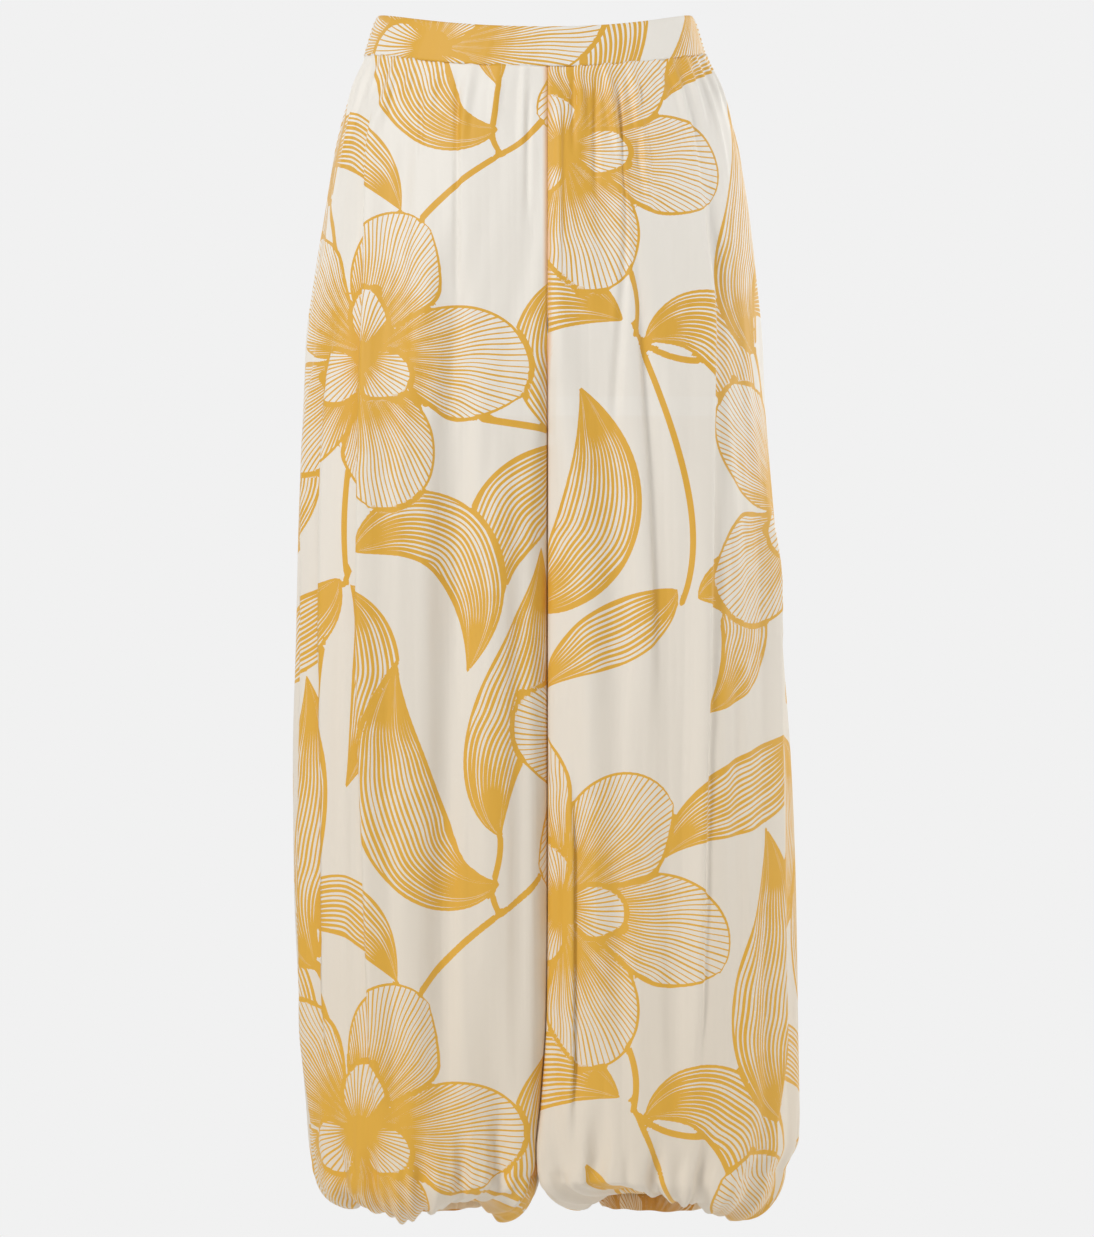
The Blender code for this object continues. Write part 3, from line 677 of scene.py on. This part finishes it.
def hem_rows(leg, face, outline, share):
    """Rows of the balloon: from its widest line, down round its lowest and in to the ring."""
    angle = leg_angle(face, share)
    ring, ways = round_ring(leg, angle)
    wave = hem_wave(angle)
    drop = smooth_curve(angle, *zip(*SAGS[leg])) + 2.0 * HEM_GATHER * wave
    rows = []
    for hem_turn in HEM_TURNS:
        swing = 0.5 * math.pi * min(hem_turn, 1.0)
        back = max(hem_turn - 1.0, 0.0)
        reach = (1.0 - (1.0 - HEM_LOWEST_AT) * (1.0 - math.cos(swing))) * (1.0 - back)
        level = HEM_TURN - drop * math.sin(swing)
        level = level + (CASING_TOP - 1.0 - level) * soft_step(back)
        stands = HEM_GATHER_AT_RING * (0.5 + 0.5 * wave) + OFF_RING
        grown = soft_step((hem_turn - 0.3) / 1.7)
        flat = ring + reach * (outline[:, :2] - ring) + ways * (stands * grown)[:, None]
        keep_on_half(face, flat)
        rows.append(with_last(flat, level))
    return rows


def panel_cloth(leg, face):
    """Points of a leg panel, row by row, their places on the cloth: across, down, and painted shade.
    """
    aside, below = CUT_FROM[leg, face]
    rows = []
    across = []
    painted_shade = []
    for level in LEG_LEVELS:
        points, places, share, shade_beside_wall = leg_row(leg, face, level)
        rows.append(points)
        across.append(places)
        painted_shade.append(shade_beside_wall)
    for row in hem_rows(leg, face, rows[-1], share):
        rows.append(row)
        across.append(places)
        painted_shade.append(0.0 * shade_beside_wall)
    points = np.array(rows)
    steps = np.linalg.norm(np.diff(points, axis=0), axis=2)
    straight = np.diff(LEG_LEVELS)
    steps[:len(straight)] = -straight[:, None]
    down = np.vstack([np.zeros(len(places)), np.cumsum(steps, axis=0)])
    cloth = np.dstack([np.array(across) * -LEGS[leg] * FACES[face] + aside, down + below])
    return points, cloth, np.array(painted_shade)


def spine_points(pulls):
    """Points along a smooth curve from its base to its tip."""
    t = np.linspace(0.0, 1.0, 41)[:, None]
    a, b, c, d = (np.array(pull, float) for pull in pulls)
    return (1 - t) ** 3 * a + 3 * (1 - t) ** 2 * t * b + 3 * (1 - t) * t ** 2 * c + t ** 3 * d


def beside_line(places, line):
    """The share along a line of each place's nearest point on it, and the distance off it,
    positive on its left."""
    run = np.diff(line, axis=0)
    lengths = np.linalg.norm(run, axis=1)
    share_at = np.concatenate([[0.0], np.cumsum(lengths)]) / lengths.sum()
    best = np.full(len(places), 1e9)
    share = np.zeros(len(places))
    off = np.zeros(len(places))
    for k in range(len(run)):
        to = places - line[k]
        t = np.clip((to @ run[k]) / lengths[k] ** 2, 0.0, 1.0)
        gap = to - t[:, None] * run[k]
        away = np.hypot(gap[:, 0], gap[:, 1])
        side = np.sign(run[k, 0] * to[:, 1] - run[k, 1] * to[:, 0])
        near = away < best
        best = np.where(near, away, best)
        share = np.where(near, share_at[k] + t * (share_at[k + 1] - share_at[k]), share)
        off = np.where(near, side * away, off)
    return share, off, lengths.sum()


def blade_width(share, fullest, tip):
    """A blade's width along it, 1 where it is fullest."""
    share = np.clip(share, 0.0, 1.0)
    base = tip * fullest / (1.0 - fullest)
    return (share / fullest) ** base * ((1.0 - share) / (1.0 - fullest)) ** tip


class Motif:
    """One drawn shape of the print."""

    def __init__(self, line, left, right, fullest, tip, lines, rim, fan=0.0):
        self.line, self.left, self.right = line, left, right
        self.fullest, self.tip = fullest, tip
        self.lines, self.rim, self.fan = lines, rim, fan
        low = line.min(axis=0)
        high = line.max(axis=0)
        self.centre = 0.5 * (low + high)
        self.reach = 0.5 * (high - low) + max(left, right) + 8.0

    def draw(self, places):
        """Inside distance, rim distance, hatch phase and share of ink, at places near it."""
        share, off, length = beside_line(places, self.line)
        full = blade_width(share, self.fullest, self.tip)
        step = 0.01
        slope = blade_width(share + step, self.fullest, self.tip)
        slope = slope - blade_width(share - step, self.fullest, self.tip)
        half = np.where(off > 0.0, self.left, self.right)
        tilt = np.clip(slope / (2.0 * step) * half / length, -3.0, 3.0)
        inside = (half * full - np.abs(off)) / np.sqrt(1.0 + tilt ** 2)
        rim = self.rim * (RIM_AT_TIP + (1.0 - RIM_AT_TIP) * full)
        rim *= np.where(off > 0.0, RIM_LEFT, RIM_RIGHT)
        width = np.maximum((self.left + self.right) * full, 0.5)
        across = (off + self.right * full) / width
        phase = self.lines * across
        pitch = width / max(self.lines, 1)
        least, at_base, at_tip = PETAL_INK if self.fan else LEAF_INK
        ink = least + at_base * (1.0 - share) ** 2 + at_tip * share ** 3
        if self.fan:
            back = self.line[0] - 0.35 * (self.line[3] - self.line[0])
            to = places - back
            ahead = self.line[20] - back
            angle = np.arctan2(ahead[0] * to[:, 1] - ahead[1] * to[:, 0], to @ ahead)
            phase = angle / self.fan + 50.0
            pitch = np.hypot(to[:, 0], to[:, 1]) * self.fan
        if not self.lines:
            return inside, inside - FAR_INSIDE, phase, np.ones(len(places))
        run = share * length / WAVER_LENGTH
        waver = WAVER * np.sin(run + 0.9 * np.sin(2.3 * run) + self.centre[0])
        phase = phase + waver * (1.0 - share) * share * 4.0
        return inside, inside - rim, phase, np.clip(ink / np.maximum(pitch, 0.4), 0.0, MOST_INK)


def solid_disc(centre, radius):
    """A solid round spot."""
    across = np.array([radius, 0.0])
    ends = (centre - across, centre - across, centre + across, centre + across)
    return Motif(spine_points(ends), radius, radius, 0.5, 0.5, 0, 0.0)


def blossom_petals(centre, turn, length, half, count):
    """A blossom's eye, its petals, the small inner ones first, each turned a little over the
    next, and the solid ground between the petals' feet."""
    centre = np.array(centre, float)
    petals = [solid_disc(centre, EYE)]
    for number, ring in zip((INNER_PETALS, count), PETAL_RINGS):
        size, spread, start, shift, rim, fan = ring
        for k in range(number):
            angle = math.radians(turn + shift + 360.0 * k / number)
            uneven = 1.0 + 0.09 * math.sin(2.7 * k + turn)
            way = np.array([math.cos(angle), math.sin(angle)])
            aside = np.array([-way[1], way[0]])
            reach = length * size * uneven
            base = centre + way * length * start * 0.5
            pulls = [base + reach * (ahead * way + over * aside) for ahead, over in PETAL_CURVE]
            spine = spine_points(pulls)
            wide = half * spread
            shape = (wide, 0.9 * wide, PETAL_FULLEST, PETAL_TIP)
            petals.append(Motif(spine, *shape, PETAL_LINES, rim, fan))
    petals.append(solid_disc(centre, PETAL_FEET))
    return petals


def print_motifs():
    """Every shape of one repeat of the print, from the top layer down."""
    motifs = []
    for row in BLOSSOMS:
        motifs += blossom_petals(*row)
    for row in LEAVES:
        motifs.append(Motif(spine_points(row[:4]), *row[4:]))
    for row in STEMS:
        line = spine_points(row[:4])
        # A stem runs on a little past both its ends.
        line[0] += 1.5 * (line[0] - line[1])
        line[-1] += 1.5 * (line[-1] - line[-2])
        motifs.append(Motif(line, row[4], row[4], 0.5, 0.05, 0, 0.0))
    return motifs


def print_chart(places):
    """What the print is at places on the cloth, in millimetres: distance inside the nearest shape
    that shows, distance inside its rim, hatch phase and share of ink."""
    count = len(places)
    shown = np.full(count, FAR_OUTSIDE)
    rim = np.full(count, FAR_INSIDE)
    phase = np.zeros(count)
    fill = np.zeros(count)
    covered = np.full(count, FAR_OUTSIDE)
    for motif in print_motifs():
        away = places - motif.centre
        away -= REPEAT * np.round(away / REPEAT)
        near = np.flatnonzero(np.all(np.abs(away) < motif.reach + 20.0, axis=1))
        inside, own_rim, own_phase, own_fill = motif.draw(away[near] + motif.centre)
        here = np.minimum(inside, -covered[near])
        over = near[(inside > 0.0) & (covered[near] > -1.0) & (covered[near] < OVERLAP_EDGE)]
        rim[over] = np.minimum(rim[over], covered[over] - OVERLAP_EDGE)
        wins = here > shown[near]
        chosen = near[wins]
        shown[chosen] = here[wins]
        rim[chosen] = np.minimum(own_rim, -covered[near] - OVERLAP_RIM)[wins]
        phase[chosen] = own_phase[wins]
        fill[chosen] = own_fill[wins]
        covered[near] = np.maximum(covered[near], inside)
    return shown, rim, phase, fill


def keep_on_cloth(mesh, name, *columns):
    """Three numbers for each point of a sheet, under a name that the materials read."""
    layer = mesh.attributes.new(name, "FLOAT_VECTOR", "POINT")
    layer.data.foreach_set("vector", np.column_stack(columns).ravel())


def lay_sheet(name, points, cloth, outward, painted_shade=0.0):
    """A flat grid laid along rows of points, with its place on the printed cloth kept."""
    rows, columns = points.shape[:2]
    build = bmesh.new()
    bmesh.ops.create_grid(build, x_segments=columns - 1, y_segments=rows - 1, size=1.0)
    build.verts.ensure_lookup_table()
    for vert, place in zip(build.verts, points.reshape(-1, 3) * MM):
        vert.co = place
    if not outward:
        bmesh.ops.reverse_faces(build, faces=build.faces)
    mesh = bpy.data.meshes.new(name)
    build.to_mesh(mesh)
    build.free()
    mesh.shade_smooth()
    places = cloth.reshape(-1, 2)
    shown, rim, phase, fill = print_chart(places * (1.0, -1.0))
    keep_on_cloth(mesh, "cloth", places * MM, 0.0 * fill)
    keep_on_cloth(mesh, "print_form", shown, rim, phase)
    keep_on_cloth(mesh, "ink_and_painted_shade", fill, np.ravel(painted_shade) + 0.0 * fill, 0.0 * fill)
    item = bpy.data.objects.new(name, mesh)
    bpy.context.collection.objects.link(item)
    return item


def leg_panel(leg, face):
    """One leg panel: front or back, from the waistband to the hem casing."""
    points, cloth, painted_shade = panel_cloth(leg, face)
    item = lay_sheet(f"{leg}_{face}_panel", points, cloth, LEGS[leg] * FACES[face] < 0, painted_shade)
    thick = item.modifiers.new("cloth", "SOLIDIFY")
    thick.thickness = CLOTH * MM
    thick.offset = -1.0
    thick.use_even_offset = False
    thick.use_quality_normals = True
    thick.material_offset = 1
    thick.material_offset_rim = 1
    return item


def band_line(face, height, columns):
    """The waistband's line at a height, from the right side seam to the left, and out of it."""
    right = half_section("right", face, height)[0]
    left = half_section("left", face, height)[0]
    points = np.vstack([right[:-1], left[::-1]])
    keep_on_half(face, points)
    arc = lengths_along(points)
    place = np.linspace(0.0, arc[-1], columns + 1)
    line = on_line(place, arc, points)
    way = np.gradient(line, axis=0)
    way /= np.linalg.norm(way, axis=1, keepdims=True)
    out = np.column_stack([-way[:, 1], way[:, 0]]) * FACES[face]
    out[0, 1] = 0.0
    out[-1, 1] = 0.0
    out /= np.linalg.norm(out, axis=1, keepdims=True)
    return line, out, front_drop(height, line, face), place


def band_profile():
    """The waistband's section as (out of its line, height), once round: outside, folded top,
    inside and sewn lower edge."""
    top = BAND_TOP + 0.2
    low = BAND_BOTTOM
    outside = [(0.15, low - 0.2), (0.9, low + 0.5), (1.25, low + 1.6)]
    outside += [(1.15, h) for h in np.linspace(low + 4.0, top - 4.0, 11)]
    fold = [(1.0, top - 1.8), (0.6, top - 0.6), (-0.1, top), (-0.9, top - 0.5), (-1.3, top - 1.8)]
    inside = [(-1.35, h) for h in np.linspace(top - 4.0, low + 1.2, 7)]
    return outside + fold + inside + [(-0.9, low + 0.2), (-0.4, low - 0.2)]


def ruche_wave(place, total, count, seed):
    """Uneven ruches along an elasticated strip, 0 between two and 1 on top of one."""
    turn = 2.0 * math.pi * count * place / total
    turn = turn + 1.1 * np.sin(turn / 5.3 + seed) + 0.7 * np.sin(turn / 2.9 + 2.0 * seed)
    size = 0.72 + 0.28 * np.sin(turn / 3.7 + seed)
    return size * (0.5 - 0.5 * np.cos(turn))


def lay_tube(name, rows, cloth, outward, open_ends):
    """A sheet laid once round a strip's section, joined along it, and at its ends or over them."""
    item = lay_sheet(name, np.array(rows), np.array(cloth), outward)
    build = bmesh.new()
    build.from_mesh(item.data)
    bmesh.ops.remove_doubles(build, verts=build.verts, dist=0.00001)
    if open_ends:
        rims = [edge for edge in build.edges if edge.is_boundary]
        bmesh.ops.holes_fill(build, edges=rims, sides=0)
    build.to_mesh(item.data)
    build.free()
    item.data.set_sharp_from_angle(angle=math.radians(70.0))
    return item


def waistband(face):
    """The front or back of the waistband, a folded and pressed strip."""
    columns, ruches, ruche, fullness = BANDS[face]
    profile = band_profile()
    aside, below = CUT_FROM[face, "waistband"]
    rows = []
    cloth = []
    for out_by, height in profile + profile[:1]:
        line, out, down, place = band_line(face, height, columns)
        wave = ruche * ruche_wave(place, place[-1], max(ruches, 1), 1.7)
        middle = 1.0 - (2.0 * (height - BAND_BOTTOM) / (BAND_TOP - BAND_BOTTOM) - 1.0) ** 4
        lift = out_by + wave * (0.45 + 0.55 * max(middle, 0.0))
        nod = 0.25 * wave * (1.0 if height > 0.0 else -0.5)
        flat = line + out * lift[:, None]
        keep_on_half(face, flat)
        rows.append(with_last(flat, height - down + nod))
        cloth.append(with_last(place * fullness + aside, BAND_TOP - height + below))
    return lay_tube(f"{face}_waistband", rows, cloth, face == "front", open_ends=True)


def hem_casing(leg):
    """The ruched casing that holds the elastic round a hem."""
    angle = np.linspace(0.0, 360.0, CASING_COLUMNS + 1)
    turn = np.radians(angle)
    wave = sum(share * ruche_wave(angle, 360.0, count, start) for share, count, start in CASING_RUCHES)
    wave = wave + (wave[0] - wave[-1]) * angle / 360.0
    nod = np.sin(9.0 * turn + LEGS[leg]) * np.cos(4.0 * turn)
    top = CASING_TOP + 1.5
    aside, down = CUT_FROM[leg, "casing"]
    rows = []
    cloth = []
    for out_by, below in CASING_PROFILE + CASING_PROFILE[:1]:
        lift = out_by * (0.15 + 0.85 * wave) if out_by > 0.0 else out_by
        level = top - below - 0.9 * nod * soft_step(below / 12.0)
        rows.append(with_last(round_ring(leg, angle, lift)[0], level))
        cloth.append(with_last(angle * CASING_CLOTH + aside, below + down))
    return lay_tube(f"{leg}_hem_casing", rows, cloth, LEGS[leg] < 0, open_ends=False)


def linear(hex_colour):
    """An sRGB hex colour as linear red, green, blue and full cover."""
    parts = [int(hex_colour[k:k + 2], 16) / 255.0 for k in (1, 3, 5)]
    return tuple(p / 12.92 if p <= 0.04045 else ((p + 0.055) / 1.055) ** 2.4 for p in parts) + (1.0,)


def add_node(tree, kind, inputs=(), **settings):
    """A shader node with its settings. Each input has a value, or another node's output."""
    node = tree.nodes.new("ShaderNode" + kind)
    for name, setting in settings.items():
        setattr(node, name, setting)
    for name, given in dict(inputs).items():
        if isinstance(given, bpy.types.NodeSocket):
            tree.links.new(given, node.inputs[name])
        else:
            node.inputs[name].default_value = given
    return node


def printed_share(tree, cloth, ink):
    """Where the gold lies: solid rims, and hatch lines whose width varies from line to line."""
    form = add_node(tree, "Attribute", attribute_name="print_form").outputs["Vector"]
    shape, rim_in, phase = add_node(tree, "SeparateXYZ", {0: form}).outputs
    inside = add_node(tree, "Math", {0: shape, 1: 0.0}, operation="GREATER_THAN")
    rim = add_node(tree, "Math", {0: rim_in, 1: 0.0}, operation="LESS_THAN")
    line = add_node(tree, "Math", {0: phase}, operation="ROUND").outputs[0]
    off = add_node(tree, "Math", {0: phase, 1: line}, operation="SUBTRACT")
    away = add_node(tree, "Math", {0: off.outputs[0]}, operation="ABSOLUTE")
    chance = add_node(tree, "TexWhiteNoise", {"W": line}, noise_dimensions="1D")
    pressure = add_node(tree, "TexNoise", {
        "Vector": cloth, "Scale": 1.0 / PRESSURE_SIZE, "Detail": 1.0,
    })
    varied = add_node(tree, "Math", {
        0: chance.outputs["Value"], 1: pressure.outputs["Fac"],
    }, operation="ADD")
    share = add_node(tree, "MapRange", {
        "Value": varied.outputs[0], "From Min": 0.2, "From Max": 1.6, "To Min": 0.28, "To Max": 0.88,
    })
    width = add_node(tree, "Math", {0: ink, 1: share.outputs["Result"]}, operation="MULTIPLY")
    hatch = add_node(tree, "Math", {0: away.outputs[0], 1: width.outputs[0]}, operation="LESS_THAN")
    drawn = add_node(tree, "Math", {0: rim.outputs[0], 1: hatch.outputs[0]}, operation="MAXIMUM")
    printed = add_node(tree, "Math", {0: drawn.outputs[0], 1: inside.outputs[0]}, operation="MULTIPLY")
    return printed.outputs[0]


def ground_colour(tree, ground, shaded_near_hem, painted_shade_between_legs):
    """The ivory ground, with painted shade: darker and warmer towards the hem, and warm beside the
    centre seam, where cloth faces cloth; cooler over the lining, and paler along the line where
    the lining's hem lies behind it."""
    spot = add_node(tree, "TexCoord").outputs["Object"]
    height = add_node(tree, "SeparateXYZ", {0: spot}).outputs["Z"]
    # Painted shade: the ground grows darker and warmer towards the hem.
    unshaded_share = add_node(tree, "MapRange", {"Value": height, "From Min": SHADE_FULLEST, "From Max": SHADE_STARTS})
    shaded_by_height = add_node(tree, "Mix", {
        0: unshaded_share.outputs["Result"], 6: shaded_near_hem, 7: ground,
    }, data_type="RGBA")
    lined = add_node(tree, "MapRange", {
        "Value": height, "From Min": LINING_HEM - LINING_FADE, "From Max": LINING_HEM,
        "To Max": LINED_SHARE,
    })
    half = 0.5 * LINING_TURN
    turned_up = add_node(tree, "Math", {0: height, 1: LINING_HEM + half, 2: half}, operation="COMPARE")
    doubled = add_node(tree, "Math", {
        0: turned_up.outputs[0], 1: TURNED_SHARE, 2: lined.outputs["Result"],
    }, operation="MULTIPLY_ADD")
    shade = add_node(tree, "Mix", {
        0: doubled.outputs[0], 6: shaded_by_height.outputs[2], 7: ground,
    }, data_type="RGBA")
    # Painted warm shade beside the centre seam, where cloth faces cloth.
    with_shade_between_legs = add_node(tree, "Mix", {
        0: painted_shade_between_legs, 6: shade.outputs[2], 7: linear(SHADE_BETWEEN_LEGS),
    }, data_type="RGBA")
    return with_shade_between_legs.outputs[2]


def crepe_relief(tree, cloth):
    """Crepe grain, and long faint streaks where the hanging cloth is drawn downwards."""
    grain = add_node(tree, "TexNoise", {"Vector": cloth, "Scale": 1.0 / GRAIN_SIZE, "Detail": 2.0})
    stretch = add_node(tree, "Mapping", {
        "Vector": cloth, "Scale": (1.0 / STREAK_WIDTH, 1.0 / STREAK_LENGTH, 1.0),
    })
    streaks = add_node(tree, "TexNoise", {
        "Vector": stretch.outputs[0], "Scale": 1.0, "Detail": 1.5, "Roughness": 0.45,
    })
    pebbled = add_node(tree, "Bump", {
        "Height": grain.outputs["Fac"], "Strength": 0.35, "Distance": GRAIN_HEIGHT,
    })
    draped = add_node(tree, "Bump", {
        "Height": streaks.outputs["Fac"], "Normal": pebbled.outputs[0],
        "Strength": 1.0, "Distance": STREAK_HEIGHT,
    })
    return draped.outputs[0]


def new_material(name):
    """A material, its node tree and its shader's inputs."""
    material = bpy.data.materials.new(name)
    material.use_nodes = True
    return material, material.node_tree, material.node_tree.nodes["Principled BSDF"].inputs


def crepe(name):
    """Printed viscose crepe: a dry, fine-grained cloth with a low sheen."""
    gold, ground, shaded_near_hem, strength, painted_shade = CREPE_COLOURS[name]
    material, tree, finish = new_material(name)
    cloth = add_node(tree, "Attribute", attribute_name="cloth").outputs["Vector"]
    kept = add_node(tree, "Attribute", attribute_name="ink_and_painted_shade").outputs["Vector"]
    ink, shade_beside_wall = add_node(tree, "SeparateXYZ", {0: kept}).outputs[:2]
    share = printed_share(tree, cloth, ink)
    printed = add_node(tree, "Math", {0: share, 1: strength}, operation="MULTIPLY")
    painted_shade_between_legs = add_node(tree, "Math", {0: shade_beside_wall, 1: painted_shade}, operation="MULTIPLY")
    ivory = ground_colour(tree, linear(ground), linear(shaded_near_hem), painted_shade_between_legs.outputs[0])
    dye_and_painted_shade = add_node(tree, "Mix", {0: printed.outputs[0], 6: ivory, 7: linear(gold)}, data_type="RGBA")
    tree.links.new(dye_and_painted_shade.outputs[2], finish["Base Color"])
    tree.links.new(crepe_relief(tree, cloth), finish["Normal"])
    finish["Roughness"].default_value = 0.58
    finish["Sheen Weight"].default_value = 0.18
    finish["Sheen Roughness"].default_value = 0.45
    finish["Sheen Tint"].default_value = linear("#FFF6E4")
    return material


# The cloth's face, its reverse, and the same cloth drawn up small on the casings, in darker colours
# that are painted shade for the shadow its ruches and the balloons above cast on it.
face_cloth, reverse, shaded_casing_cloth = (crepe(name) for name in CREPE_COLOURS)

for leg in LEGS:
    for face in FACES:
        panel = leg_panel(leg, face)
        panel.data.materials.append(face_cloth)
        panel.data.materials.append(reverse)
        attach(panel, "root")
        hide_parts(f"leg_{leg}_{face}")
    casing = hem_casing(leg)
    casing.data.materials.append(shaded_casing_cloth)
    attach(casing, "root")
    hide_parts(f"hem_casing_{leg}")

for face in FACES:
    band = waistband(face)
    band.data.materials.append(face_cloth)
    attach(band, "root")
    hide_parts(f"waistband_{face}")

# Stage: a pale floor, a pale surround, the camera and the lamps.
floor_mesh = bpy.data.meshes.new("floor")
build = bmesh.new()
bmesh.ops.create_circle(build, cap_ends=True, segments=96, radius=FLOOR_RADIUS)
bmesh.ops.translate(build, verts=build.verts, vec=(0.0, 0.0, FLOOR_LEVEL))
build.to_mesh(floor_mesh)
build.free()
floor = bpy.data.objects.new("floor", floor_mesh)
bpy.context.collection.objects.link(floor)
floor_paint, tree, finish = new_material("pale_floor")
finish["Base Color"].default_value = linear(FLOOR_COLOUR)
finish["Roughness"].default_value = 0.9
floor_mesh.materials.append(floor_paint)

world = bpy.data.worlds.new("pale_surround")
bpy.context.scene.world = world
world.use_nodes = True
tree = world.node_tree
tree.nodes["Background"].inputs["Color"].default_value = linear(SURROUND)
tree.nodes["Background"].inputs["Strength"].default_value = SURROUND_LIGHT
backdrop = add_node(tree, "Background", {"Color": linear(SURROUND), "Strength": 1.0})
path = add_node(tree, "LightPath")
both = add_node(tree, "MixShader", {
    0: path.outputs["Is Camera Ray"], 1: tree.nodes["Background"].outputs[0], 2: backdrop.outputs[0],
})
tree.links.new(both.outputs[0], tree.nodes["World Output"].inputs["Surface"])

bpy.context.scene.view_settings.view_transform = "Standard"

lens = bpy.data.cameras.new("camera")
lens.sensor_fit = "VERTICAL"
lens.sensor_height = SENSOR
lens.lens = SENSOR * CAMERA_AWAY / PICTURE_HEIGHT
camera = bpy.data.objects.new("camera", lens)
camera.location = (PICTURE_MIDDLE[0], -CAMERA_AWAY, PICTURE_MIDDLE[1])
camera.rotation_euler = (math.radians(90.0), 0.0, 0.0)
bpy.context.collection.objects.link(camera)
bpy.context.scene.camera = camera

for name, place, size, power in LIGHTS:
    lamp = bpy.data.lights.new(name, "AREA")
    lamp.shape = "SQUARE"
    lamp.size = size
    lamp.energy = power
    item = bpy.data.objects.new(name, lamp)
    item.location = place
    aim = LAMPS_FACE - np.array(place)
    item.rotation_euler = (
        math.acos(-aim[2] / np.linalg.norm(aim)), 0.0, math.atan2(aim[1], aim[0]) - 0.5 * math.pi
    )
    bpy.context.collection.objects.link(item)

bpy.context.view_layer.update()
